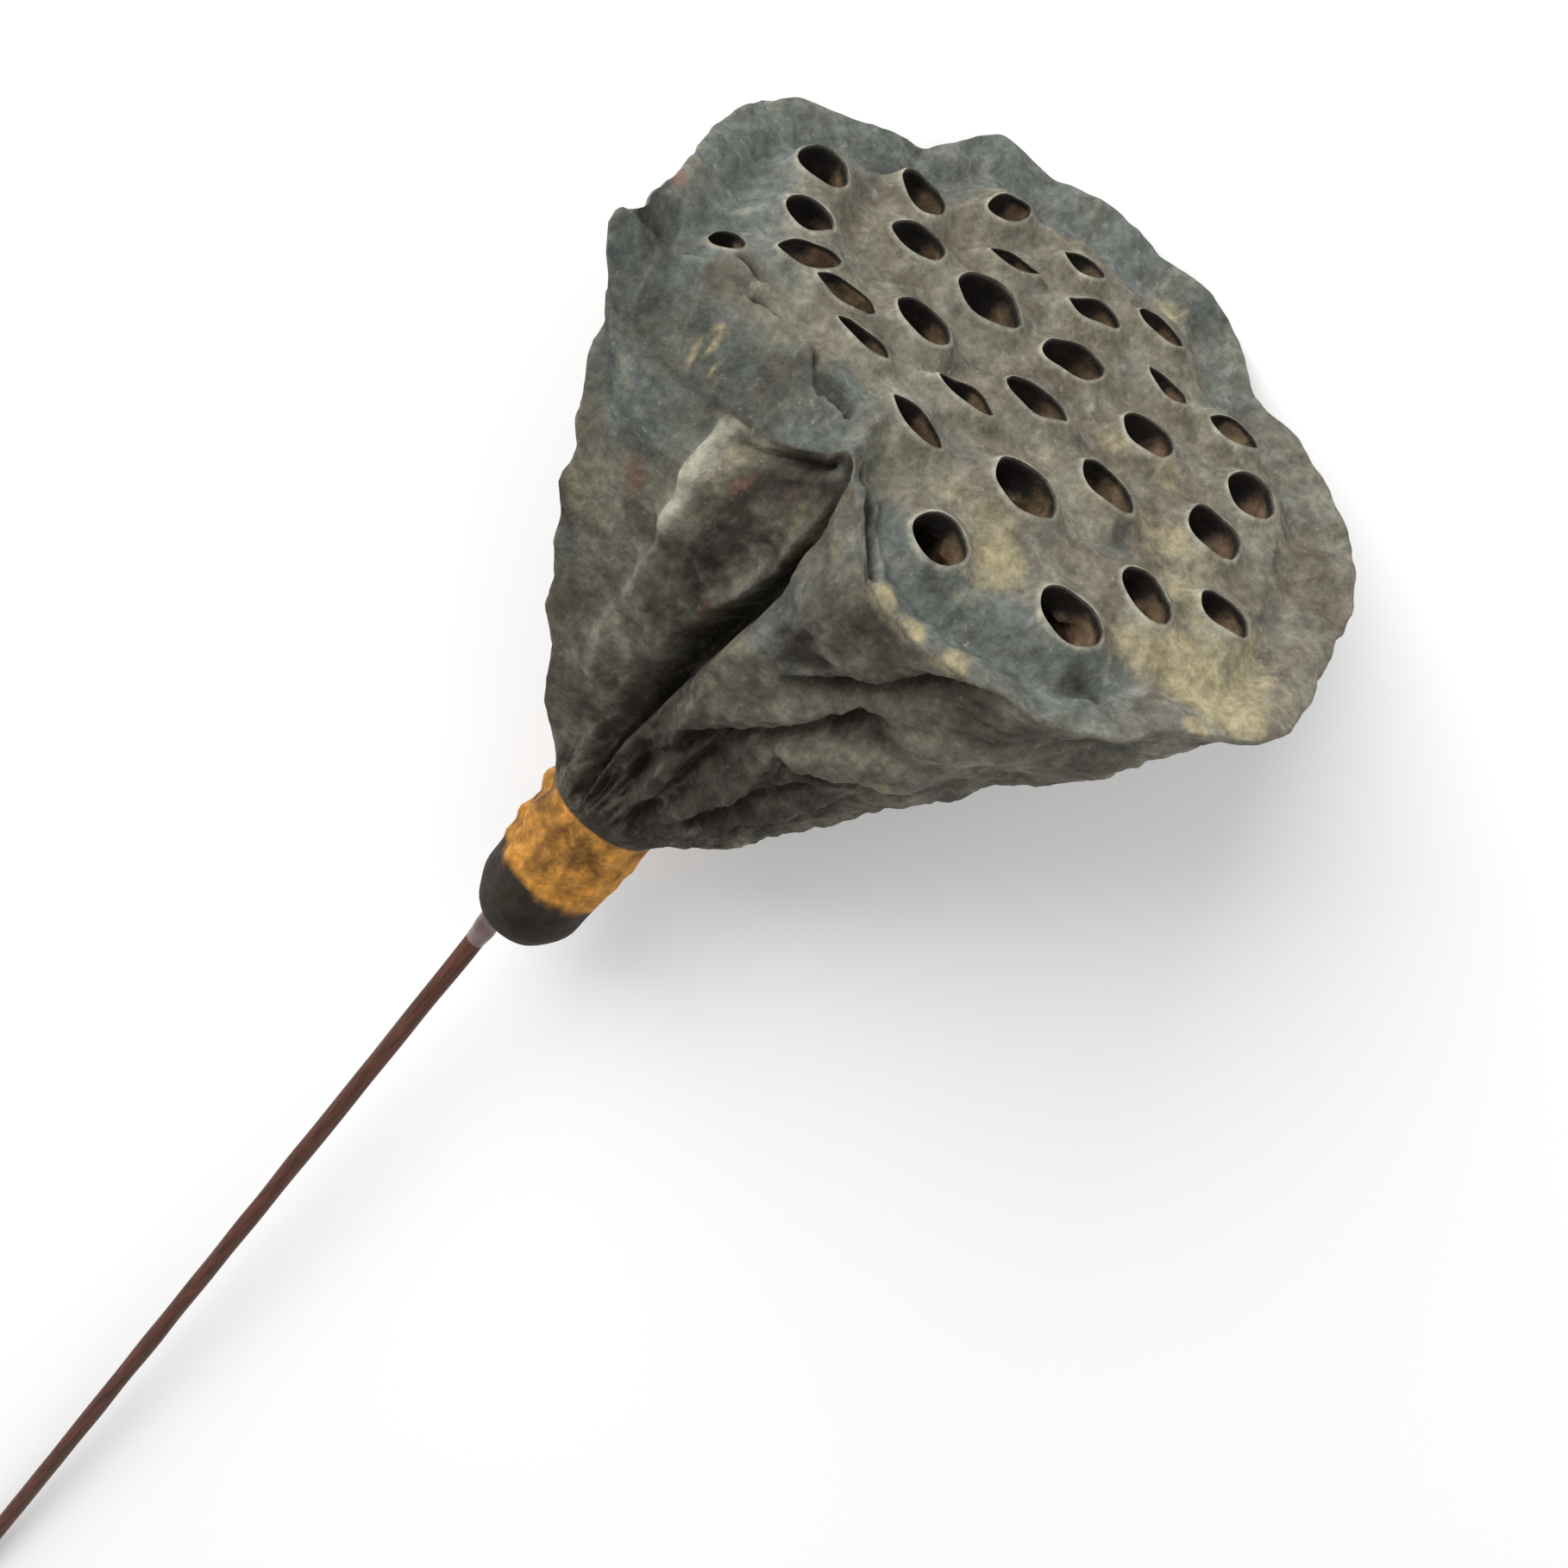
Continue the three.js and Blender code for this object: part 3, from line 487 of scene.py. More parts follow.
def face_places():
    """Places of the face: the rim, rings inside it, a jittered field on the plateau, rings round mouths."""
    shares = np.concatenate([np.linspace(FLANGE_FROM, 0.985, 22), [0.994]])
    phi = np.radians(angles)
    rim = rim_at(angles)[0]
    outward = np.stack([np.cos(phi), np.sin(phi)], -1)
    middle = np.array([FACE_X, FACE_Y])
    rim_places = middle + rim[:, None] * outward
    flange = (middle + (shares[:, None] * rim)[..., None] * outward).reshape(-1, 2)
    steps = np.arange(-45.0, 45.0, PLATEAU_STEP)
    row, column = np.meshgrid(steps * 0.87, steps, indexing="ij")
    column = column + np.where(np.arange(len(steps)) % 2, 0.5, 0.0)[:, None] * PLATEAU_STEP
    field = np.stack([column.ravel(), row.ravel()], -1) + middle
    field += np.random.default_rng(5).uniform(-0.15, 0.15, field.shape) * PLATEAU_STEP
    field = field[face_polar(field)[1] < FLANGE_FROM - 0.012]
    loose = np.concatenate([flange, field])
    loose = loose[(split_depth(loose) < 0.1) & (mouth_distance(loose).min(1) > LIP_STEPS[-1] + 0.25)]
    cracks = np.concatenate([split_places(split) for split in SPLITS])
    cracks = cracks[mouth_distance(cracks).min(1) > LIP_STEPS[2]]
    edges = [mouth_ring(number, mouth_around, 0.0) for number in range(len(MOUTHS))]
    rings = []
    for number in range(len(MOUTHS)):
        ring = np.concatenate([mouth_ring(number, mouth_around, grow) for grow in LIP_STEPS[1:]])
        apart = mouth_distance(ring)
        others = np.delete(apart, number, 1).min(1)
        whole = (split_depth(ring) < 0.1) | (apart[:, number] < LIP_STEPS[2])
        rings.append(ring[(others > apart[:, number] + 0.1) & (face_polar(ring)[1] < 0.98) & whole])
    return np.concatenate([rim_places, *edges, loose, cracks, *rings])


def face_triangles(places):
    """Triangles between the places by Delaunay's rule, without those in a mouth or beyond the rim."""
    loops = [np.arange(AROUND)]
    loops += [AROUND + number * MOUTH_AROUND + np.arange(MOUTH_AROUND) for number in range(len(MOUTHS))]
    kept_edges = np.concatenate([np.stack([loop, np.roll(loop, -1)], -1) for loop in loops])
    made = delaunay_2d_cdt(places.tolist(), kept_edges.tolist(), [], 0, 1e-7)
    source = np.array([origin[0] for origin in made[3]])
    triangles = source[np.array(made[2])]
    centres = places[triangles].mean(1)
    shown = (face_polar(centres)[1] < 1.0) & (mouth_distance(centres).min(1) > 0.0)
    return triangles[shown]


def band(upper, lower):
    """Quads between two rings of points given by their numbers, the first above the second."""
    return np.stack([upper, lower, np.roll(lower, -1), np.roll(upper, -1)], -1)


places = face_places()
face_points = np.concatenate([places, face_height(places)[:, None]], 1)
# The rim itself takes only part of the relief of the face.
RIM_RELIEF = 0.4
rim_height = rim_at(angles)[1]
face_points[:AROUND, 2] = rim_height + RIM_RELIEF * (face_points[:AROUND, 2] - rim_height)
blocks = [face_points]
quads = []
fans = [face_triangles(places)]
count = len(face_points)

# Chambers: below its lip each mouth opens into a chamber that leans towards the stalk and closes round.
PIT_DEPTH, PIT_DEPTH_PER_WIDTH, PIT_FOLDS = 1.5, 1.9, 0.05
PIT_FOCUS = np.array([-3.0, -6.0, -60.0])
pit_levels = np.concatenate([[0.03, 0.07], np.linspace(0.11, 0.43, 9), np.linspace(0.52, 0.94, 5), [0.985]])
pit_share = [np.zeros(count)]
pit_light_and_remains = [np.zeros(count)]
# Withered remains on the chamber walls: chamber, turn, level down the chamber, reach in each, rise.
REMAINS = [
    [28, 100, 0.27, 14, 0.05, 0.9], [28, 62, 0.36, 14, 0.04, 0.5], [24, 92, 0.28, 16, 0.06, 0.7],
    [14, 100, 0.27, 12, 0.05, 0.8], [14, 80, 0.22, 10, 0.04, 0.5], [23, 98, 0.3, 22, 0.05, 0.9],
    [23, 70, 0.38, 14, 0.05, 0.6], [19, 90, 0.3, 16, 0.05, 0.5], [29, 60, 0.34, 20, 0.08, 0.5],
]
# Painted light: a lit brown is painted on the side of a chamber that the light reaches, given as the
# direction of that side.
LIT_SIDE_ANGLE = 30.0
TURNED_LIT_SIDE = {20: 75.0, 21: 85.0, 3: 75.0, 16: 55.0, 26: 60.0, 7: 60.0, 0: 60.0}
# Chambers that a torn brown membrane closes early, with the share of the usual depth.
SHALLOW = {20: 0.55, 21: 0.42, 3: 0.6, 16: 0.7}


def chamber(number, ring):
    """Chamber under one mouth: its edge carried down the lean, a little wider inside, closing in a dome.

    Gives its rows of points, its lowest point and, for each point of the rows, the share of lit brown:
    painted light on the side that the lamp reaches, and the brown of the remains.
    """
    depth = (PIT_DEPTH + PIT_DEPTH_PER_WIDTH * MOUTHS[number, 2:4].min()) * SHALLOW.get(number, 1.0)
    middle = ring.mean(0)
    lean = unit(PIT_FOCUS - middle)
    v = pit_levels[:, None]
    wide = 1.0 + 0.06 * ease(0.2, 0.5, v) - 0.04 * bell(v - 0.04, 0.05)
    close = np.sqrt(np.maximum(0.0, 1.0 - np.maximum(0.0, (v - 0.5) / 0.5) ** 2.4))
    folds = PIT_FOLDS * ripple(round_axis(np.degrees(mouth_around), 3.0), 3.0, 50 + number)
    size = (wide * close * (1.0 + folds * ease(0.0, 0.3, v)))[..., None]
    fall = -lean / lean[2] * [1.0, 1.0, 0.0] * ease(0.1, 0.7, v)[..., None] - np.array([0.0, 0.0, 1.0])
    lump = np.zeros((len(pit_levels), MOUTH_AROUND))
    for _, turn, level, reach, thick, rise in (row for row in REMAINS if row[0] == number):
        lump += rise * bell(turn_between(np.degrees(mouth_around), turn), reach) * bell(v - level, thick)
    out = ring - middle
    inward = 1.0 - lump / np.linalg.norm(out, axis=1)
    rows = middle + out * size * inward[..., None] + fall * (depth * v)[..., None]
    side = np.degrees(np.arctan2(out[:, 1], out[:, 0]))
    # Painted light: the side of the chamber turned to the lamp, a little below the lip, gets the lit brown.
    facing = np.cos(np.radians(side - TURNED_LIT_SIDE.get(number, LIT_SIDE_ANGLE)))
    dust = ease(0.35, 1.0, facing) * ease(0.03, 0.16, v) * (1.0 - ease(0.45, 0.8, v))
    # The torn membrane of a shallow chamber is brown, strongest on the side turned to the lamp: real colour
    # with painted light.
    if number in SHALLOW:
        dust = np.maximum(dust, 0.85 * ease(0.2, 0.5, v) * ease(-0.6, 0.5, facing))
    return rows, middle - lean / lean[2] * depth, np.maximum(dust, 1.6 * lump)


for number in range(len(MOUTHS)):
    edge_numbers = AROUND + number * MOUTH_AROUND + np.arange(MOUTH_AROUND)
    rows, bottom, dust = chamber(number, face_points[edge_numbers])
    upper = edge_numbers
    for row in range(len(rows)):
        lower = count + row * MOUTH_AROUND + np.arange(MOUTH_AROUND)
        quads.append(band(lower, upper)[:, ::-1])
        upper = lower
    last = count + len(rows) * MOUTH_AROUND
    fans.append(np.stack([upper, np.roll(upper, -1), np.full_like(upper, last)], -1))
    blocks += [rows.reshape(-1, 3), bottom[None]]
    pit_share += [np.repeat(pit_levels, MOUTH_AROUND), [1.0]]
    pit_light_and_remains += [dust.ravel(), [dust[-1].mean()]]
    count = last + 1

# Below the rim the wall and the stub go on ring by ring to the cut end.
wall_downs = np.concatenate([[0.0, 0.006, 0.014, 0.024, 0.036], np.linspace(0.05, 1.0, 96)])
stalk_shares = np.concatenate([np.linspace(0.03, 0.9, 26), [0.93, 0.96, 0.985, 1.0]])
phi = np.radians(angles)
RIM_ROUNDING, END_BULGE = 0.25, 0.25
bulge = RIM_ROUNDING * (1.0 - folded_at(angles))
rim_edge = face_points[:AROUND] + bulge[:, None] * np.stack([np.cos(phi), np.sin(phi), 0.0 * phi], -1)
rim_edge[:, 2] -= 0.5 * RIM_THICKNESS
wall_rows = wall_point(angles[None, :], wall_downs[:, None])
stalk_rows = stalk_point(angles[None, :], stalk_shares[:, None])
end_centre = stalk_rows[-1].mean(0)
shrink = np.array([0.7, 0.35])[:, None, None]
end_rows = end_centre + (stalk_rows[-1] - end_centre) * shrink - STALK_AXIS * END_BULGE * (1.0 - shrink)
rows = np.concatenate([rim_edge[None], wall_rows, stalk_rows, end_rows])
upper = np.arange(AROUND)
for row in range(len(rows)):
    lower = count + row * AROUND + np.arange(AROUND)
    quads.append(band(upper, lower))
    upper = lower
last = count + len(rows) * AROUND
fans.append(np.stack([upper, np.full_like(upper, last), np.roll(upper, -1)], -1))
blocks += [rows.reshape(-1, 3), (rows[-1].mean(0) - STALK_AXIS * 0.1)[None]]
pod_points = np.concatenate(blocks)
face_count = len(face_points)
wall_start = count
count = last + 1


def mesh_piece(name, points, polygons):
    """A smooth mesh object of the given name from points in the pod's frame and lists of polygons."""
    mesh = bpy.data.meshes.new(name)
    sizes = np.concatenate([np.full(len(group), group.shape[1]) for group in polygons])
    corners = np.concatenate([group.ravel() for group in polygons])
    mesh.vertices.add(len(points))
    mesh.vertices.foreach_set("co", lay(points).ravel())
    mesh.loops.add(len(corners))
    mesh.loops.foreach_set("vertex_index", corners.astype(np.int32))
    mesh.polygons.add(len(sizes))
    mesh.polygons.foreach_set("loop_start", (np.cumsum(sizes) - sizes).astype(np.int32))
    mesh.polygons.foreach_set("use_smooth", np.ones(len(sizes), bool))
    mesh.update(calc_edges=True)
    mesh.validate()
    made = bpy.data.objects.new(name, mesh)
    bpy.context.scene.collection.objects.link(made)
    return made


pod = mesh_piece("lotus_pod_skin", pod_points, fans + quads)

# Colour of the skin: grey-brown, blue-grey on the flange, ochre where it is worn, tan on the scar band.
# The masks are worked out at each point and kept with the mesh; the shader mixes its colours by them.
# Some masks paint shade into the splits, creases, valley and chamber linings, and paint light on the lit side
# of each chamber.
pit_share = np.concatenate([*pit_share, np.zeros(count - wall_start)])
pit_light_and_remains = np.concatenate([*pit_light_and_remains, np.zeros(count - wall_start)])
angle_face, share_face = face_polar(pod_points[:face_count, :2])
rows_angle = np.tile(angles, len(rows))
rows_down = np.concatenate([[0.0], wall_downs, np.ones(len(stalk_shares) + len(end_rows))])
rows_down = rows_down.repeat(AROUND)
rows_stalk = np.concatenate([np.zeros(1 + len(wall_downs)), stalk_shares, np.ones(len(end_rows))])
rows_stalk = rows_stalk.repeat(AROUND)

# Patches of the face: x, y, reach in x, reach in y, strength.
OCHRE = [
    [9.5, -12.4, 2.6, 3, 1.0], [6.3, -10, 2.4, 2, 0.6], [20.8, 6, 4, 3, 0.8], [25.3, 0.2, 3, 3.5, 0.9],
    [23.7, -10, 3, 2, 0.9], [29.2, -7, 4.5, 3.5, 1.2], [32.5, 1, 3, 4, 0.7], [15.5, 14, 2.5, 1.8, 0.8],
    [10, 12, 2, 1.5, 0.6], [4.7, 37, 2.5, 1.6, 0.9], [11, 1.4, 2.5, 1.5, 0.6], [35, -4, 3, 6, 0.6],
    [33.5, -9, 3, 2.5, 1.0], [32, -13.7, 1.3, 1, 2.0], [0.6, -10.5, 3, 2, 0.4],
]
# Small ochre specks on the folded rim and along the near rim: x, y, z, reach.
SPECKS = np.array([
    [-25.3, -14.8, -6.4, 0.45], [-24.4, -13.7, -4.2, 0.5], [-23.5, -13.7, -4.5, 0.4],
    [-23.9, -14.4, -5.9, 0.45], [-24.8, -15.2, -7.7, 0.4], [-22.3, -14.5, -7.3, 0.6],
    [-20.7, -14.3, -9, 0.4], [3.6, -23.6, -6, 1.2], [7.4, -23.6, -6.6, 1.3], [12.1, -23.2, -6.1, 1.2],
])
BLUE = [
    [11.8, -17, 4, 2.5, 1.0], [6.5, -18.4, 3, 2.5, 1.0], [18.8, -16.4, 4, 2.2, 0.9],
    [24.6, -13.5, 3, 1.6, 0.8], [2.7, -18.5, 2, 2, 0.8], [16.4, -1, 2, 2.5, 0.5],
    [16, -18.5, 4, 2, 0.9], [-31, 4, 6, 9, 0.45], [-27, -4, 5, 4, 0.6], [-33, -12, 4, 4, 0.6],
]
# Dark patches of the face: the ones by the corner pocket are painted shade in the pocket, the others dark
# patches of the skin.
FACE_DARK_AND_SHADE = [
    [16.2, 0.5, 1.2, 1.5, 0.7], [24.7, -1.5, 1, 1.3, 0.8], [6, -18.1, 1.6, 0.5, 0.6],
    [21.8, -16.1, 3, 0.6, 0.8], [-29.9, -17, 2, 2, 0.7], [-36, -11, 2.5, 2.5, 0.6],
    [-34.3, -13.6, 2.2, 1.8, 1.6],
]
RUST = [[-37, -6.5, 1.5, 1.5, 0.9], [-36, -2, 1, 1.5, 0.5]]
# Patches of the wall: angle, place down the wall, reach in each, strength.
# Painted shade: these dark patches lie in and beside the valley, just below the rim, in creases low on the
# wall and over the lower wall; the last, of negative strength, is painted light on the left wall under the
# fold.
WALL_SHADE_AND_LIGHT = [
    [246, 0.1, 9, 0.12, 1.0], [243, 0.27, 7, 0.14, 1.0], [240, 0.46, 6, 0.12, 0.6], [226, 0.3, 4, 0.1, 0.3],
    [290, 0.75, 30, 0.2, 0.4], [290, 0.97, 60, 0.12, 0.6], [272, 0.2, 10, 0.14, 0.45],
    [285, 0.75, 14, 0.12, 0.65], [267, 0.78, 8, 0.1, 0.6], [243, 0.72, 5, 0.12, 0.6],
    [279, 0.07, 10, 0.1, 0.6], [300, 0.7, 25, 0.15, 0.3], [240, 0.03, 8, 0.02, 0.5],
    [258.5, 0.3, 4, 0.14, 0.6], [252, 0.5, 5, 0.12, 0.6], [305, 0.1, 25, 0.12, 0.35],
    [216, 0.12, 16, 0.18, -0.6],
]
WALL_OCHRE = [[278, 0.005, 5, 0.02, 0.9], [291, 0.005, 4, 0.02, 0.8], [232, 0.12, 1.8, 0.08, 0.6]]
WALL_RUST = [
    [223.5, 0.22, 2, 0.06, 0.9], [238, 0.1, 1.5, 0.04, 0.6], [246, 0.12, 1.5, 0.05, 0.7],
    [250, 0.4, 3, 0.03, 0.6],
]
WALL_PALE = [
    [232.5, 0.14, 2, 0.07, 0.5], [230.5, 0.43, 3, 0.07, 0.6], [225.5, 0.66, 1.6, 0.12, 0.5],
    [222, 0.3, 1, 0.2, 0.25],
]
WALL_BLUE = [
    [220, 0.1, 9, 0.12, 0.95], [266, 0.18, 6, 0.12, 0.8], [230, 0.43, 3.5, 0.08, 1.0],
    [225.5, 0.66, 2, 0.12, 0.7], [276, 0.25, 9, 0.16, 0.5], [250, 0.04, 3, 0.04, 0.8],
]


def spots(places, patches):
    """Sum of soft patches, each a bell in x times a bell in y."""
    total = np.zeros(len(places))
    for x, y, reach_x, reach_y, strength in patches:
        total += strength * bell(places[:, 0] - x, reach_x) * bell(places[:, 1] - y, reach_y)
    return total


FLANGE_BLUE, SPECK_STRENGTH = 0.8, 1.7
LIP_PALE, CREST_PALE, RIM_PALE, VEIN_PALE = 0.9, 1.1, 0.35, 0.32
SPLIT_SHADE, LOW_DARK, MOTTLE_DARK, FOLD_SHADE, WRINKLE_SHADE = 0.8, 0.52, 0.22, 0.16, 0.35
SKIN_MASKS = ("blue", "ochre", "pale", "dark", "rust", "scar", "stub")
masks = {name: np.zeros(count) for name in SKIN_MASKS}
face = slice(0, face_count)
wall = slice(wall_start, count - 1)
flat = pod_points[face, :2]
nearest = np.maximum(mouth_distance(flat).min(1), 0.0)
brown_side = bell(turn_between(angle_face, 5.0), 60.0)
masks["blue"][face] = FLANGE_BLUE * ease(0.74, 0.85, share_face) * (1.0 - 0.95 * brown_side)
masks["blue"][face] *= 1.0 - 0.2 * folded_at(angle_face)
masks["blue"][face] += spots(flat, BLUE) + 0.12 * ripple(flat, 12.0, 61)
masks["ochre"][face] = spots(flat, OCHRE) + 0.08 * ripple(flat, 9.0, 62)
gaps = np.linalg.norm(pod_points[face, None] - SPECKS[:, :3], axis=2)
masks["ochre"][face] += SPECK_STRENGTH * bell(gaps, SPECKS[:, 3]).sum(1)
masks["pale"][face] = LIP_PALE * bell(nearest, 0.32) + 0.15 * np.exp(-nearest / 1.8)
masks["pale"][face] += VEIN_PALE * face_veins(flat)
# Painted shade: the splits grow darker with their depth, and the pocket by the corner is darkened.
masks["dark"][face] = spots(flat, FACE_DARK_AND_SHADE) + SPLIT_SHADE * split_depth(flat)
masks["rust"][face] = spots(flat, RUST)
around = rows_angle % 360.0
on_wall = np.stack([around, rows_down], -1)
fold_height = wall_folds(around, rows_down) - wall_valley(around, rows_down)
fold_height += wall_creases(around, rows_down)
wrinkles = wall_wrinkles(around, rows_down)
wall_solid = np.concatenate([round_axis(rows_angle, WALL_RADIUS), WALL_SLOPE * rows_down[:, None]], 1)
masks["blue"][wall] = spots(on_wall, WALL_BLUE) + 0.15 * ripple(wall_solid, 14.0, 64)
mottle = ripple(wall_solid, 9.0, 65) + 0.6 * ripple(wall_solid, 4.0, 66)
# The wall's patches are painted shade and one painted light; the wall also grows darker towards the neck.
masks["dark"][wall] = spots(on_wall, WALL_SHADE_AND_LIGHT) + LOW_DARK * ease(0.35, 0.8, rows_down)
masks["dark"][wall] += MOTTLE_DARK * np.maximum(0.0, mottle)
# Painted shade: the wall darkens in its valleys, creases and the hollows between wrinkles, by their depth.
masks["dark"][wall] += FOLD_SHADE * np.maximum(0.0, -fold_height) + WRINKLE_SHADE * np.maximum(0.0, -wrinkles)
crest_gap = line_gap(around, rows_down, CREASES[0][3])[0]
masks["pale"][wall] = spots(on_wall, WALL_PALE) + 0.25 * np.maximum(0.0, wrinkles - 0.4)
masks["pale"][wall] += CREST_PALE * bell(crest_gap, 0.9) * (1.0 - ease(0.2, 0.34, rows_down))
masks["pale"][wall] += RIM_PALE * np.exp(-rows_down / 0.01) * (1.0 - folded_at(around))
masks["ochre"][wall] = spots(on_wall, WALL_OCHRE)
masks["ochre"][wall] += 0.35 * np.maximum(0.0, ripple(wall_solid, 5.0, 67) - 1.0)
masks["rust"][wall] = spots(on_wall, WALL_RUST)
stub_solid = np.concatenate([round_axis(rows_angle, STUB_RADIUS), STALK_LENGTH * rows_stalk[:, None]], 1)
ragged = DARK_END_FROM + 0.02 * ripple(stub_solid, 6.0, 68) + 0.004 * ripple(stub_solid, 1.6, 69)
masks["scar"][wall] = ease(0.0, 0.02, rows_stalk) * (rows_down >= 1.0)
masks["stub"][wall] = ease(ragged - 0.03, ragged + 0.03, rows_stalk)
masks["inside"] = ease(0.0, 0.028, pit_share)
# The dust mask holds painted light on the lit side of each chamber, and the brown of the remains and
# membranes.
masks["dust"] = pit_light_and_remains
for name, values in masks.items():
    layer = pod.data.attributes.new(name, "FLOAT", "POINT")
    layer.data.foreach_set("value", np.clip(values, 0.0, 1.0).astype(np.float32))


def shader(name):
    """A new node material with its main shader."""
    material = bpy.data.materials.new(name)
    material.use_nodes = True
    return material, material.node_tree, material.node_tree.nodes["Principled BSDF"]


def feed(tree, socket, value):
    """Gives a socket its value, or joins it to another node's output."""
    if isinstance(value, bpy.types.NodeSocket):
        tree.links.new(value, socket)
    else:
        socket.default_value = value


def put(tree, kind, settings, **sockets):
    """Adds a node: settings are its own options, and a socket takes a value or another node's output."""
    made = tree.nodes.new("ShaderNode" + kind)
    for key, value in settings.items():
        setattr(made, key, value)
    for key, value in sockets.items():
        feed(tree, made.inputs[key.replace("_", " ")], value)
    return made


def mix(tree, share, first, second, kind="MIX"):
    """Mixes two colours by a share; each is a colour or an output."""
    made = put(tree, "Mix", {"data_type": "RGBA", "blend_type": kind})
    feed(tree, made.inputs[0], share)
    for socket, value in ((made.inputs[6], first), (made.inputs[7], second)):
        feed(tree, socket, (*value, 1.0) if isinstance(value, tuple) else value)
    return made.outputs[2]


def speckle(tree, where, scale, detail, low, high, rough=0.55):
    """Noise squeezed between two levels, from nought to one."""
    noise = put(tree, "TexNoise", {}, Vector=where, Scale=scale, Detail=detail, Roughness=rough)
    squeezed = put(tree, "MapRange", {}, Value=noise.outputs["Fac"], From_Min=low, From_Max=high)
    return squeezed.outputs["Result"]


def times(tree, a, b):
    """Two numbers multiplied and kept between nought and one."""
    made = put(tree, "Math", {"operation": "MULTIPLY", "use_clamp": True})
    feed(tree, made.inputs[0], a)
    feed(tree, made.inputs[1], b)
    return made.outputs[0]


def mask(tree, name):
    """A mask that is kept with the mesh."""
    return put(tree, "Attribute", {"attribute_name": name}).outputs["Fac"]


NOISE_SHARE = 0.6


def broken(tree, amount, noise, low, high):
    """A soft mask with a broken edge: six tenths of a noise added, and squeezed between two levels."""
    part = put(tree, "Math", {"operation": "MULTIPLY_ADD"})
    for socket, value in zip(part.inputs, (noise, NOISE_SHARE, amount)):
        feed(tree, socket, value)
    made = put(tree, "MapRange", {}, Value=part.outputs[0], From_Min=low, From_Max=high)
    return made.outputs["Result"]


GREY_BROWN = (0.178, 0.166, 0.125)
WARM_BROWN = (0.100, 0.083, 0.060)
WARM_DARK = (0.048, 0.038, 0.030)
BLUE_GREY = (0.100, 0.113, 0.101)
WORN_OCHRE = (0.285, 0.245, 0.145)
PALE_EDGE = (0.30, 0.285, 0.225)
DARK_BROWN = (0.025, 0.0195, 0.0135)
RUST_BROWN = (0.15, 0.065, 0.04)
SCAR_TAN = (0.49, 0.222, 0.036)
SCAR_PIT = (0.075, 0.036, 0.010)
CUT_END = (0.026, 0.017, 0.011)
CUT_DARK = (0.014, 0.009, 0.006)
# Chamber lining: a near-black painted shade, and a lit brown of painted light that the withered remains
# share.
SHADED_LINING = (0.013, 0.010, 0.008)
LIT_LINING_AND_REMAINS = (0.18, 0.118, 0.066)
skin, tree, surface = shader("dry_pod_skin")
where = put(tree, "TexCoord", {}).outputs["Object"]
clouds = speckle(tree, where, 130.0, 5.0, 0.36, 0.64)
patchy = speckle(tree, where, 330.0, 6.0, 0.3, 0.7, 0.65)
grit = speckle(tree, where, 1100.0, 6.0, 0.3, 0.7, 0.65)
crumbs = speckle(tree, where, 620.0, 8.0, 0.34, 0.66, 0.8)
mottles = speckle(tree, where, 470.0, 3.0, 0.32, 0.68, 0.6)
stains = speckle(tree, where, 210.0, 4.0, 0.57, 0.7, 0.6)
dust = speckle(tree, where, 1500.0, 2.0, 0.66, 0.74)
colour = mix(tree, clouds, GREY_BROWN, WARM_BROWN)
colour = mix(tree, broken(tree, mask(tree, "blue"), patchy, 0.4, 1.1), colour, BLUE_GREY)
colour = mix(tree, times(tree, stains, 0.5), colour, WARM_DARK)
colour = mix(tree, times(tree, dust, 0.45), colour, PALE_EDGE)
colour = mix(tree, broken(tree, mask(tree, "ochre"), crumbs, 0.5, 1.25), colour, WORN_OCHRE)
colour = mix(tree, broken(tree, mask(tree, "dark"), patchy, 0.4, 1.4), colour, DARK_BROWN)
colour = mix(tree, broken(tree, mask(tree, "rust"), patchy, 0.65, 1.5), colour, RUST_BROWN)
colour = mix(tree, broken(tree, mask(tree, "pale"), patchy, 0.45, 1.35), colour, PALE_EDGE)
tan = mix(tree, broken(tree, clouds, patchy, 0.6, 1.5), SCAR_TAN, SCAR_PIT)
colour = mix(tree, mask(tree, "scar"), colour, tan)
colour = mix(tree, mask(tree, "stub"), colour, mix(tree, clouds, CUT_END, CUT_DARK))
# Painted shade and light inside the chambers: near-black lining, lit brown on the side the lamp reaches.
lining = mix(tree, broken(tree, mask(tree, "dust"), crumbs, 0.45, 1.5), SHADED_LINING, LIT_LINING_AND_REMAINS)
colour = mix(tree, mask(tree, "inside"), colour, lining)
for noise, least, most in ((grit, 0.66, 1.34), (mottles, 0.74, 1.26)):
    shade = put(tree, "MapRange", {}, Value=noise, To_Min=least, To_Max=most).outputs["Result"]
    tone = put(tree, "CombineColor", {}, Red=shade, Green=shade, Blue=shade).outputs["Color"]
    colour = mix(tree, 1.0, colour, tone, "MULTIPLY")
tree.links.new(colour, surface.inputs["Base Color"])
rough_out = put(tree, "MapRange", {}, Value=patchy, To_Min=0.6, To_Max=0.85).outputs["Result"]
tree.links.new(rough_out, surface.inputs["Roughness"])
surface.inputs["Specular IOR Level"].default_value = 0.25
fine = put(tree, "TexNoise", {}, Vector=where, Scale=900.0, Detail=7.0, Roughness=0.65).outputs["Fac"]
BUMP_DEPTH = 0.0006
bump = put(tree, "Bump", {}, Strength=0.5, Distance=BUMP_DEPTH, Height=fine)
leather = put(tree, "TexNoise", {"noise_type": "RIDGED_MULTIFRACTAL"}, Vector=where, Scale=420.0, Detail=3.0)
bump = put(tree, "Bump", {}, Strength=0.2, Distance=BUMP_DEPTH, Height=leather.outputs["Fac"],
           Normal=bump.outputs["Normal"])
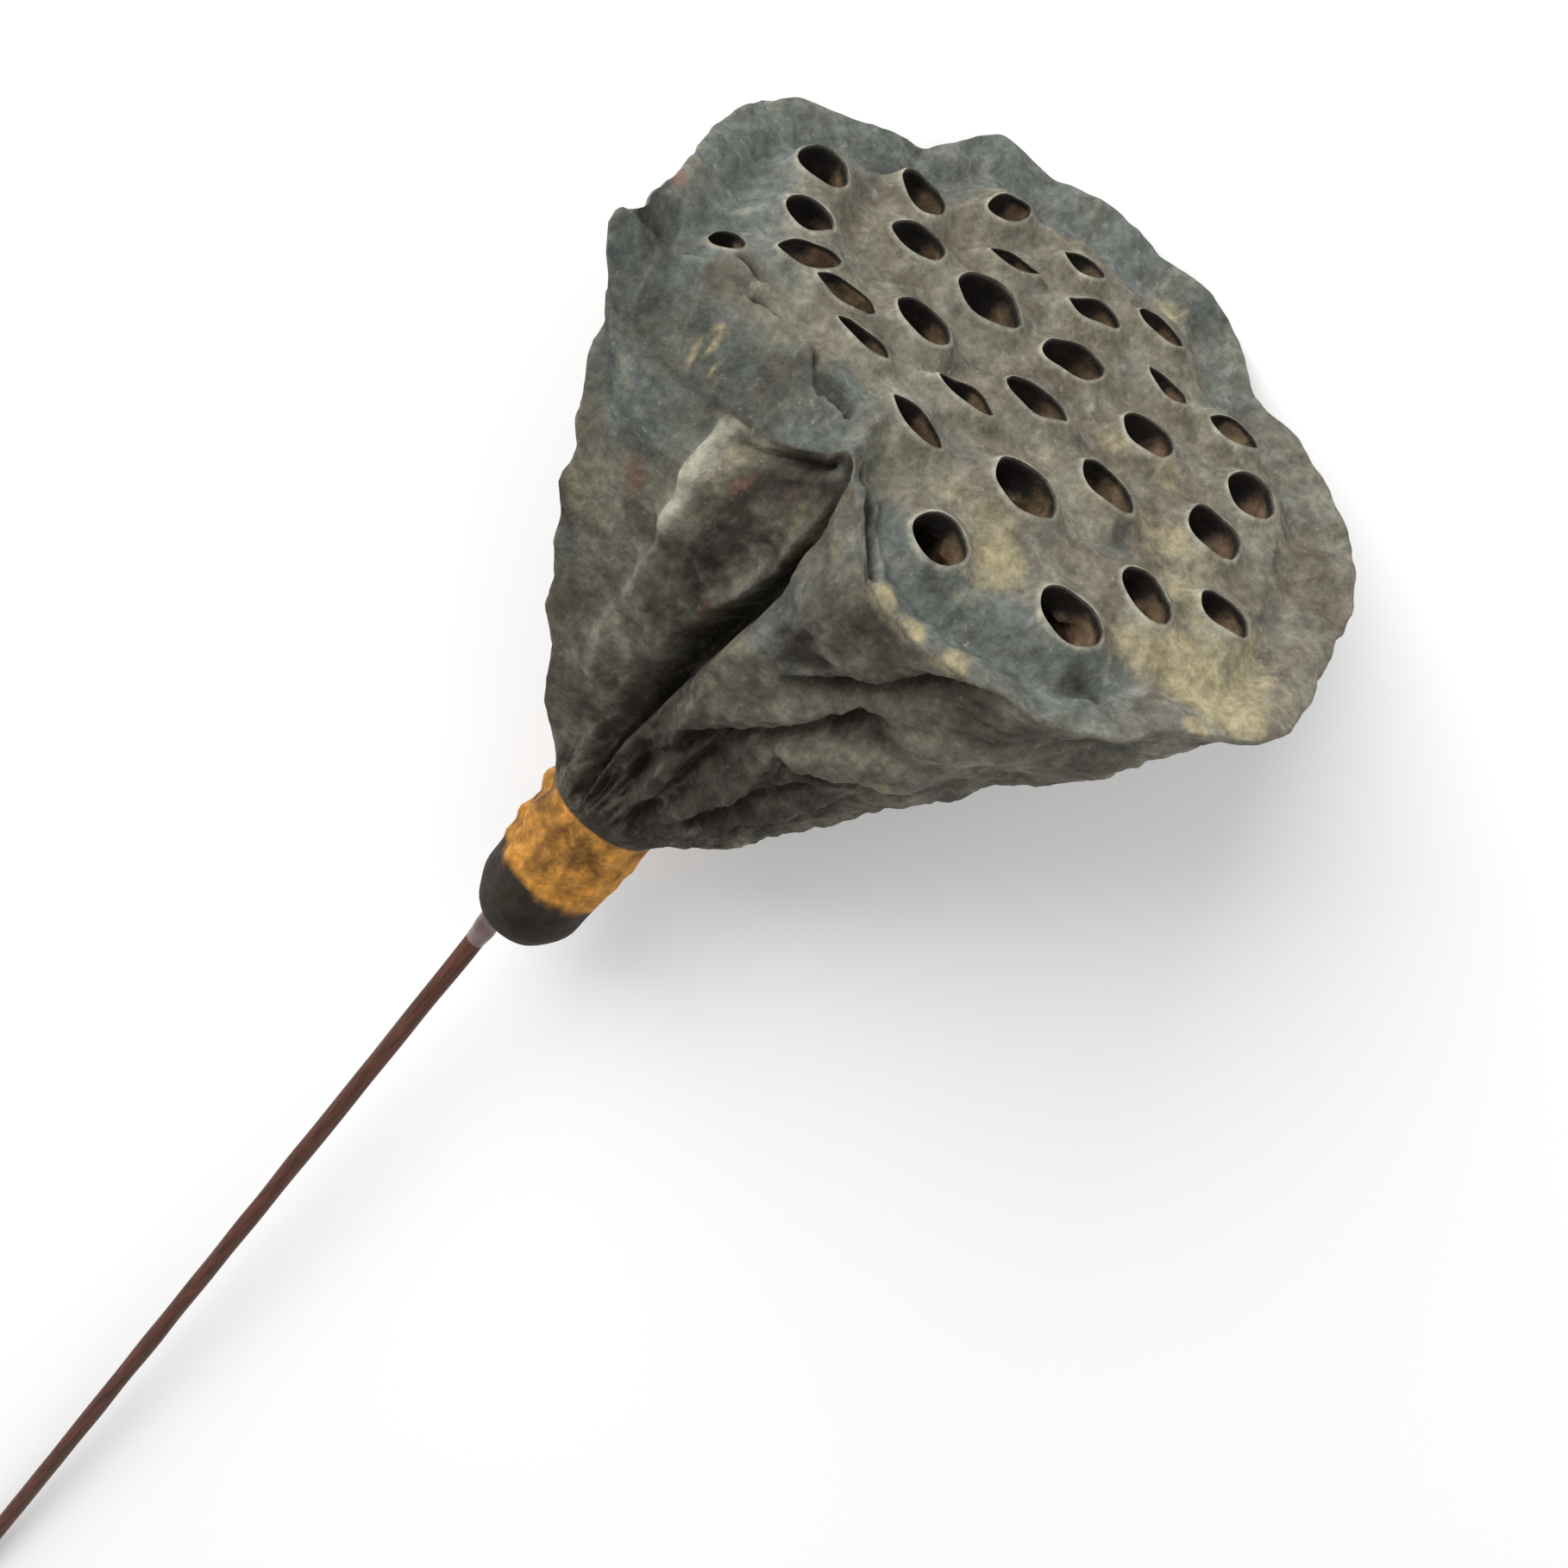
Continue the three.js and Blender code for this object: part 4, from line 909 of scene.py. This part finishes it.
tree.links.new(bump.outputs["Normal"], surface.inputs["Normal"])
pod.data.materials.append(skin)
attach(pod, "root")
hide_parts("lotus_pod")

# Stick: a thin straight round stick of brown wood, slightly satin and a little uneven.
# It is pushed into a blind hole in the cut end of the stub, and glue holds it there.
ROD_SIDES, STICK_RINGS = 24, 260
STICK_WAVE, STICK_CHAMFER, GRAIN_STRETCH = 0.03, 0.15, 0.12
side = unit(np.cross(STICK_AXIS, [1.0, 0.0, 0.0]))
across = np.cross(STICK_AXIS, side)


def rod(stations, radius):
    """A closed rod about the stick's line: rings of the given radius at the stations, a point at each end."""
    ring = round_axis(np.linspace(0.0, 360.0, radius.shape[1], endpoint=False), 1.0)
    around = ring[:, :1] * side + ring[:, 1:] * across
    rows = STICK_ENTRY + STICK_AXIS * stations[:, None, None] + around * radius[..., None]
    points = np.concatenate([rows.reshape(-1, 3), STICK_ENTRY + STICK_AXIS * stations[[0, -1], None]])
    number = np.arange(rows.shape[0] * rows.shape[1]).reshape(rows.shape[:2])
    bands = np.concatenate([band(number[k], number[k + 1])[:, ::-1] for k in range(len(rows) - 1)])
    low, high = number.size, number.size + 1
    start = np.stack([number[0], np.roll(number[0], -1), np.full(number.shape[1], low)], -1)[:, ::-1]
    stop = np.stack([number[-1], np.roll(number[-1], -1), np.full(number.shape[1], high)], -1)
    return points, [start, stop, bands]


def rod_grid(stations, stretch):
    """Points of the stick's surface for a ripple to be read on, its length shrunk by the given factor."""
    ring = round_axis(np.linspace(0.0, 360.0, ROD_SIDES, endpoint=False), STICK_RADIUS)
    shape = (len(stations), ROD_SIDES)
    along = np.broadcast_to(stretch * stations[:, None, None], (*shape, 1))
    return np.concatenate([np.broadcast_to(ring, (*shape, 2)), along], -1)


stations = np.linspace(-STICK_SHOWN + STICK_CHAMFER, STICK_SUNK, STICK_RINGS)
stations = np.concatenate([[-STICK_SHOWN], stations])
radius = STICK_RADIUS - STICK_WAVE + STICK_WAVE * ripple(rod_grid(stations, GRAIN_STRETCH), 2.0, 71)
radius[0] -= STICK_CHAMFER
stick = mesh_piece("stick_rod", *rod(stations, radius))
STICK_BROWN = (0.105, 0.039, 0.022)
STICK_DARK = (0.045, 0.018, 0.011)
wood, tree, surface = shader("stick_wood")
where = put(tree, "TexCoord", {}).outputs["Object"]
fibres_at = put(tree, "Mapping", {}, Vector=where, Scale=(0.06, 1.0, 1.0)).outputs["Vector"]
fibres = speckle(tree, fibres_at, 1800.0, 4.0, 0.35, 0.65)
tree.links.new(mix(tree, fibres, STICK_BROWN, STICK_DARK), surface.inputs["Base Color"])
surface.inputs["Roughness"].default_value = 0.55
surface.inputs["Specular IOR Level"].default_value = 0.25
bump = put(tree, "Bump", {}, Strength=0.3, Distance=0.0002, Height=fibres)
tree.links.new(bump.outputs["Normal"], surface.inputs["Normal"])
stick.data.materials.append(wood)
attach(stick, "root")
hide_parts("stick")

# Glue: a thin mauve-grey film of dried glue, slightly shiny.
# It has run a little way down the stick while it was wet, and drawn up against the cut end of the stub.
GLUE_LENGTH, GLUE_TOP, GLUE_RINGS = 6.0, 0.3, 40
GLUE_GAP, GLUE_FILM, GLUE_WAVE = 0.02, 0.2, 0.08
GLUE_COLLAR, COLLAR_REACH = 0.9, 0.7
stations = np.linspace(-GLUE_LENGTH - 0.4, GLUE_TOP, GLUE_RINGS)
stations = np.concatenate([[-GLUE_LENGTH - 0.5], stations])
run = ease(-GLUE_LENGTH - 0.6, -GLUE_LENGTH + 2.0, stations)[:, None]
radius = STICK_RADIUS + GLUE_GAP + run * (GLUE_FILM + GLUE_WAVE * ripple(rod_grid(stations, 1.0), 3.0, 81))
radius = radius + GLUE_COLLAR * np.exp((stations - GLUE_TOP) / COLLAR_REACH)[:, None]
glue = mesh_piece("glue_film", *rod(stations, radius))
GLUE_MAUVE = (0.19, 0.125, 0.125)
GLUE_DARK = (0.10, 0.062, 0.058)
film, tree, surface = shader("dry_glue_film")
where = put(tree, "TexCoord", {}).outputs["Object"]
cloudy = speckle(tree, where, 500.0, 3.0, 0.35, 0.65)
tree.links.new(mix(tree, cloudy, GLUE_MAUVE, GLUE_DARK), surface.inputs["Base Color"])
surface.inputs["Roughness"].default_value = 0.3
bump = put(tree, "Bump", {}, Strength=0.3, Distance=0.0003, Height=cloudy)
tree.links.new(bump.outputs["Normal"], surface.inputs["Normal"])
glue.data.materials.append(film)
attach(glue, "root")
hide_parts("glue")

# Floor: a wide plain pale sheet that the pod lies on, dull so that it throws no highlight.
# It is not attached to any body of the part.
FLOOR_HALF = 3.0
corners = [(x * FLOOR_HALF, y * FLOOR_HALF, 0.0) for x, y in ((-1, -1), (1, -1), (1, 1), (-1, 1))]
sheet = bpy.data.meshes.new("floor")
sheet.from_pydata(corners, [], [(0, 1, 2, 3)])
floor = bpy.data.objects.new("floor", sheet)
bpy.context.scene.collection.objects.link(floor)
paper, tree, surface = shader("floor_paper")
surface.inputs["Base Color"].default_value = (0.92, 0.92, 0.92, 1.0)
surface.inputs["Roughness"].default_value = 0.9
floor.data.materials.append(paper)

# Camera: in the pod's own frame it looks at the face from the near side; right, up and back are its axes.
# Its focal length is given in points of the picture, and the picture is as wide as the sensor.
SENSOR_WIDTH, FOCAL_POINTS, PICTURE_POINTS = 36.0, 1821.0, 1818.0
CAMERA_AT = np.array([7.27, -128.42, 87.2])
CAMERA_RIGHT = np.array([0.737, 0.507, 0.447])
CAMERA_UP = np.array([-0.676, 0.559, 0.480])
back = unit(np.cross(CAMERA_RIGHT, CAMERA_UP))
up = unit(CAMERA_UP - back * (CAMERA_UP @ back))
right = np.cross(up, back)
view_axes = LAY_DOWN @ np.array([right, up, back]).T
eye = lay(CAMERA_AT)
lens = bpy.data.cameras.new("camera")
lens.sensor_width = SENSOR_WIDTH
lens.lens = SENSOR_WIDTH * FOCAL_POINTS / PICTURE_POINTS
camera = bpy.data.objects.new("camera", lens)
pose = np.eye(4)
pose[:3, :3], pose[:3, 3] = view_axes, eye
camera.matrix_world = Matrix(pose.tolist())
bpy.context.scene.collection.objects.link(camera)
bpy.context.scene.camera = camera

# Light: one large soft lamp from above the picture, a weak one from the right, and an even pale room.
# Each lamp has a direction seen from the camera, a distance and a size in metres, and its power in watts.
LAMPS = [
    ("key_lamp", (-0.35, 0.62, 0.72), 0.9, 0.9, 10.6),
    ("fill_lamp", (0.8, -0.1, 0.7), 1.0, 1.0, 2.0),
]
ROOM_STRENGTH = 0.6
target = lay(np.array([0.0, 0.0, -20.0]))
for name, aim, distance, size, watts in LAMPS:
    lamp = bpy.data.lights.new(name, "AREA")
    lamp.size = size
    lamp.energy = watts
    place = target + view_axes @ (distance * unit(aim))
    toward = unit(place - target)
    aside = unit(np.cross([0.0, 1.0, 0.3], toward))
    pose = np.eye(4)
    pose[:3, :3] = np.array([aside, np.cross(toward, aside), toward]).T
    pose[:3, 3] = place
    holder = bpy.data.objects.new(name, lamp)
    holder.matrix_world = Matrix(pose.tolist())
    bpy.context.scene.collection.objects.link(holder)
room = bpy.data.worlds.new("room")
room.use_nodes = True
backdrop = room.node_tree.nodes["Background"]
backdrop.inputs["Color"].default_value = (1.0, 1.0, 1.0, 1.0)
backdrop.inputs["Strength"].default_value = ROOM_STRENGTH
bpy.context.scene.world = room
bpy.context.scene.view_settings.view_transform = "Standard"
